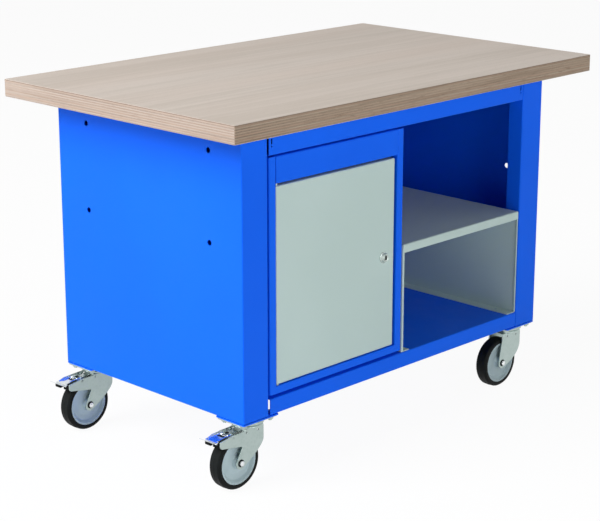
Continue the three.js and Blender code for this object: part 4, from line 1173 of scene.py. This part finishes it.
def pedal(local):
    """Pressed pedal: flared walls, a framed window, a slot, an end lip and a turned-up tail."""
    pin_x, _, pin_z = local.pin
    slope = PEDAL_DROP / (PEDAL_REACH + pin_x)
    outer = PEDAL_WIDTH / 2
    half = outer - PEDAL_SHEET / 2
    floor_top = pin_z + PEDAL_RISE - slope * pin_x
    level, floor_under = floor_top - PEDAL_SHEET / 2, floor_top - PEDAL_SHEET
    foot, wall_top = half - PEDAL_FLARE, level + PEDAL_WALL
    cross = strip([(-half, wall_top), (-foot, level), (foot, level), (half, wall_top)],
                  PEDAL_SHEET, PEDAL_BEND, steps=8)
    wall_end = PEDAL_NECK - PEDAL_REACH
    body = prism(cross, "X", wall_end, 0)

    neck = foot - PEDAL_BEND - PEDAL_NECK_INSET
    end, tail, joint = -PEDAL_REACH, -PEDAL_REACH - PEDAL_TAIL, wall_end - OVERLAP
    inner, lip = end + PEDAL_SHEET, floor_top - PEDAL_LIP
    tail_top = lip + PEDAL_TAIL_RISE + slope * PEDAL_TAIL
    tip = [(joint, floor_top), (end, floor_top), (end, lip),
           (tail, tail_top), (tail, tail_top - PEDAL_TAIL_SHEET), (end, lip - PEDAL_TAIL_SHEET),
           (inner, lip - PEDAL_LIP_FOOT), (inner, floor_under), (joint, floor_under)]
    turns = [math.pi + math.pi * k / ARC_STEPS for k in range(ARC_STEPS + 1)]
    lug = polar((pin_x, pin_z - slope * pin_x), PEDAL_LUG / 2, turns)
    lug += [(pin_x + PEDAL_LUG, floor_top - OVERLAP), (pin_x - PEDAL_LUG, floor_top - OVERLAP)]
    window_frame = rectangle(*PEDAL_FRAME, PEDAL_FRAME_ROUND, (pin_x, 0))
    combine(
        "UNION", body,
        block(wall_end - PEDAL_NECK / 2, wall_end + PEDAL_NECK / 2, -neck, neck, floor_under, floor_top),
        prism(tip, "Y", -outer, outer),
        prism(window_frame, "Z", level, floor_top + PEDAL_FRAME_RISE),
        *[prism(lug, "Y", *sorted((side * outer, side * (outer - PEDAL_SHEET)))) for side in (-1, 1)],
    )

    start, stop = wall_end - OVERLAP / 2, wall_end + PEDAL_TAPER
    low, high = PEDAL_HEIGHTS
    taper = [(start, floor_top + PEDAL_LOW_WALL), (stop, wall_top + 2 * OVERLAP),
             (stop, high), (start, high)]
    swivel = [(0, low), (PEDAL_START, low), (PEDAL_START, high), (0, high)]
    combine(
        "DIFFERENCE", body,
        prism(taper, "Y", -outer - OVERLAP, outer + OVERLAP),
        lathe(swivel, steps=TURN_STEPS),
        *[prism(opening, "Z", low, high) for opening in pedal_openings(pin_x)],
    )
    for vert in body.data.vertices:
        vert.co.z += slope * vert.co.x
    return soften(body, FINE_EDGE)


def pedal_shade_block(local):
    """Black rubber block under the pedal: painted shade that fills its window and its slot."""
    pin_x, _, pin_z = local.pin
    floor_top = pin_z + PEDAL_RISE
    window, slot = pedal_openings(pin_x, SHADE_BLOCK_FIT)
    return soften(merge(
        prism(window, "Z", floor_top - SHADE_BLOCK_DEPTH, floor_top + PEDAL_FRAME_RISE - SHADE_BLOCK_SINK),
        prism(slot, "Z", floor_top - SHADE_BAR_DEPTH, floor_top - SHADE_BAR_SINK),
    ), FINE_EDGE)


def caster(tag, braked):
    """All pieces of one caster, made about its swivel axis."""
    foot = middle(f"kingpin_{tag}") * Vector((1, 1, 0))
    plate, corner = span(f"caster_plate_{tag}"), span(f"corner_plate_{tag}")
    local = SimpleNamespace(
        axle=(middle(f"axle_{tag}") - foot) * Vector((1, 0, 1)),
        pin=middle(f"pedal_pin_{tag}") - foot if braked else None,
        race=span(f"fork_{tag}")[5],
        head=plate[4],
        plate_top=plate[5],
        plate=sizes(f"caster_plate_{tag}")[:2],
        corner_top=corner[5],
        king=span(f"kingpin_{tag}")[4:],
        **{name: sizes(f"{name}_{tag}")[1] for name in ("tyre", "rim", "bush")},
    )

    def add(obj, name, finish, body, *nodes):
        obj.location = foot * MM
        bpy.context.view_layer.update()
        return piece(obj, f"{name}_{tag}", finish, body, *[f"{node}_{tag}" for node in nodes])

    rider, wheel, lever = f"caster_{tag}", f"wheel_{tag}", f"pedal_{tag}"
    width, depth, _ = sizes(f"corner_plate_{tag}")
    add(seat_plate(width, depth, *corner[4:]), "seat_plate", BLUE, "bench", "corner_plate")
    add(caster_head(local), "head", ZINC, "bench", "caster_plate")
    add(caster_bolts(local), "bolts", ZINC, "bench")
    add(kingpin(local), "rivet", ZINC, "bench", "kingpin")
    add(fork(local, braked), "yoke", ZINC, rider, "fork")
    bolt = add(axle_bolt(local), "axle_bolt", CHROME_AND_PAINTED_SHADE, rider, "axle")
    # Faces between the fork legs, washers included, get black rubber: painted shade round the axle nuts
    for facet in bolt.data.polygons:
        facet.material_index = int(abs(facet.center.y) / MM < FORK_WIDTH / 2 + WASHER_SHEET + NEAR)
    add(bush(local), "sleeve", ZINC, wheel, "bush")
    add(rim(local), "disc", PLASTIC, wheel, "rim")
    add(tyre(local), "tread", TYRE, wheel, "tyre")
    if braked:
        add(pedal(local), "treadle", CHROME, lever, "brake_pedal")
        # The piece named cam is a black block: painted shade seen through the pedal's window and slot
        add(pedal_shade_block(local), "cam", RUBBER_AND_PAINTED_SHADE, lever)
        for node, finish in (("brake_shoe", RUBBER_AND_PAINTED_SHADE), ("pedal_bumper", RUBBER_AND_PAINTED_SHADE), ("pedal_pin", ZINC)):
            dress(f"{node}_{tag}", finish)


# Stage

def world():
    """White to the eye and in mirrors, a faint even light on everything else."""
    scene = bpy.context.scene
    scene.world = bpy.data.worlds.new("surroundings")
    scene.world.use_nodes = True
    nodes = Nodes(scene.world.node_tree)
    lit, seen = nodes.tree.nodes["Background"], nodes.add("ShaderNodeBackground")
    for background, strength in ((lit, AMBIENT), (seen, 1.0)):
        nodes.feed(background.inputs["Color"], WHITE)
        nodes.feed(background.inputs["Strength"], strength)
    nodes.split_rays(lit, seen, 1.0, "World Output")


def floor():
    """Wide white floor that keeps a faint shadow."""
    half = FLOOR_SIZE / 2
    corners = [(-half, -half, 0), (half, -half, 0), (half, half, 0), (-half, half, 0)]
    plane = new_object("floor", corners, [[0, 1, 2, 3]])
    look = Look("floor_white", FLOOR_ROUGHNESS, specular=0.0)
    look.show("Base Color", FLOOR_COLOUR)
    look.split_rays(look.shader, look.add("ShaderNodeEmission"), FLOOR_GLOW, "Material Output")
    plane.data.materials.append(look.material)


def aim(name, data, place, way):
    """Puts a lamp or camera in its place and turns it a given way."""
    obj = bpy.data.objects.new(name, data)
    obj.location = Vector(place) * MM
    obj.rotation_euler = way.to_track_quat("-Z", "Y").to_euler()
    bpy.context.scene.collection.objects.link(obj)
    return obj


def soft_lamp(name, place, size, watts):
    """Square area lamp that the camera itself doesn't see."""
    data = bpy.data.lights.new(name, "AREA")
    data.energy = watts
    data.size = size * MM
    aim(name, data, place, Vector(LIGHT_TARGET) - Vector(place)).visible_camera = False


def camera():
    """Camera at the photograph's viewing angle."""
    data = bpy.data.cameras.new("camera")
    data.sensor_width = CAMERA_SENSOR
    data.lens = CAMERA_LENS
    data.clip_end = FLOOR_SIZE * 2 * MM
    yaw, pitch = math.radians(CAMERA_YAW), math.radians(CAMERA_PITCH)
    way = Vector((math.cos(yaw) * math.cos(pitch), math.sin(yaw) * math.cos(pitch), math.sin(pitch)))
    bpy.context.scene.camera = aim("camera", data, CAMERA_PLACE, way)


worktop()
side_panel("left_side_panel", -1)
side_panel("right_side_panel", 1)
rail("front_rail", -1)
rail("rear_rail", 1)
base_panel()
back_panel()
cabinet_shell()
fascia()
cabinet_shelf()
shelf_insert()
door()
lock()
dress("hinge_pin_upper", ZINC)
dress("hinge_pin_lower", ZINC)
for corner, has_brake in BRAKED.items():
    caster(corner, has_brake)
world()
floor()
for lamp_name, lamp in LAMPS.items():
    soft_lamp(lamp_name, *lamp)
camera()
bpy.context.scene.view_settings.view_transform = "Standard"
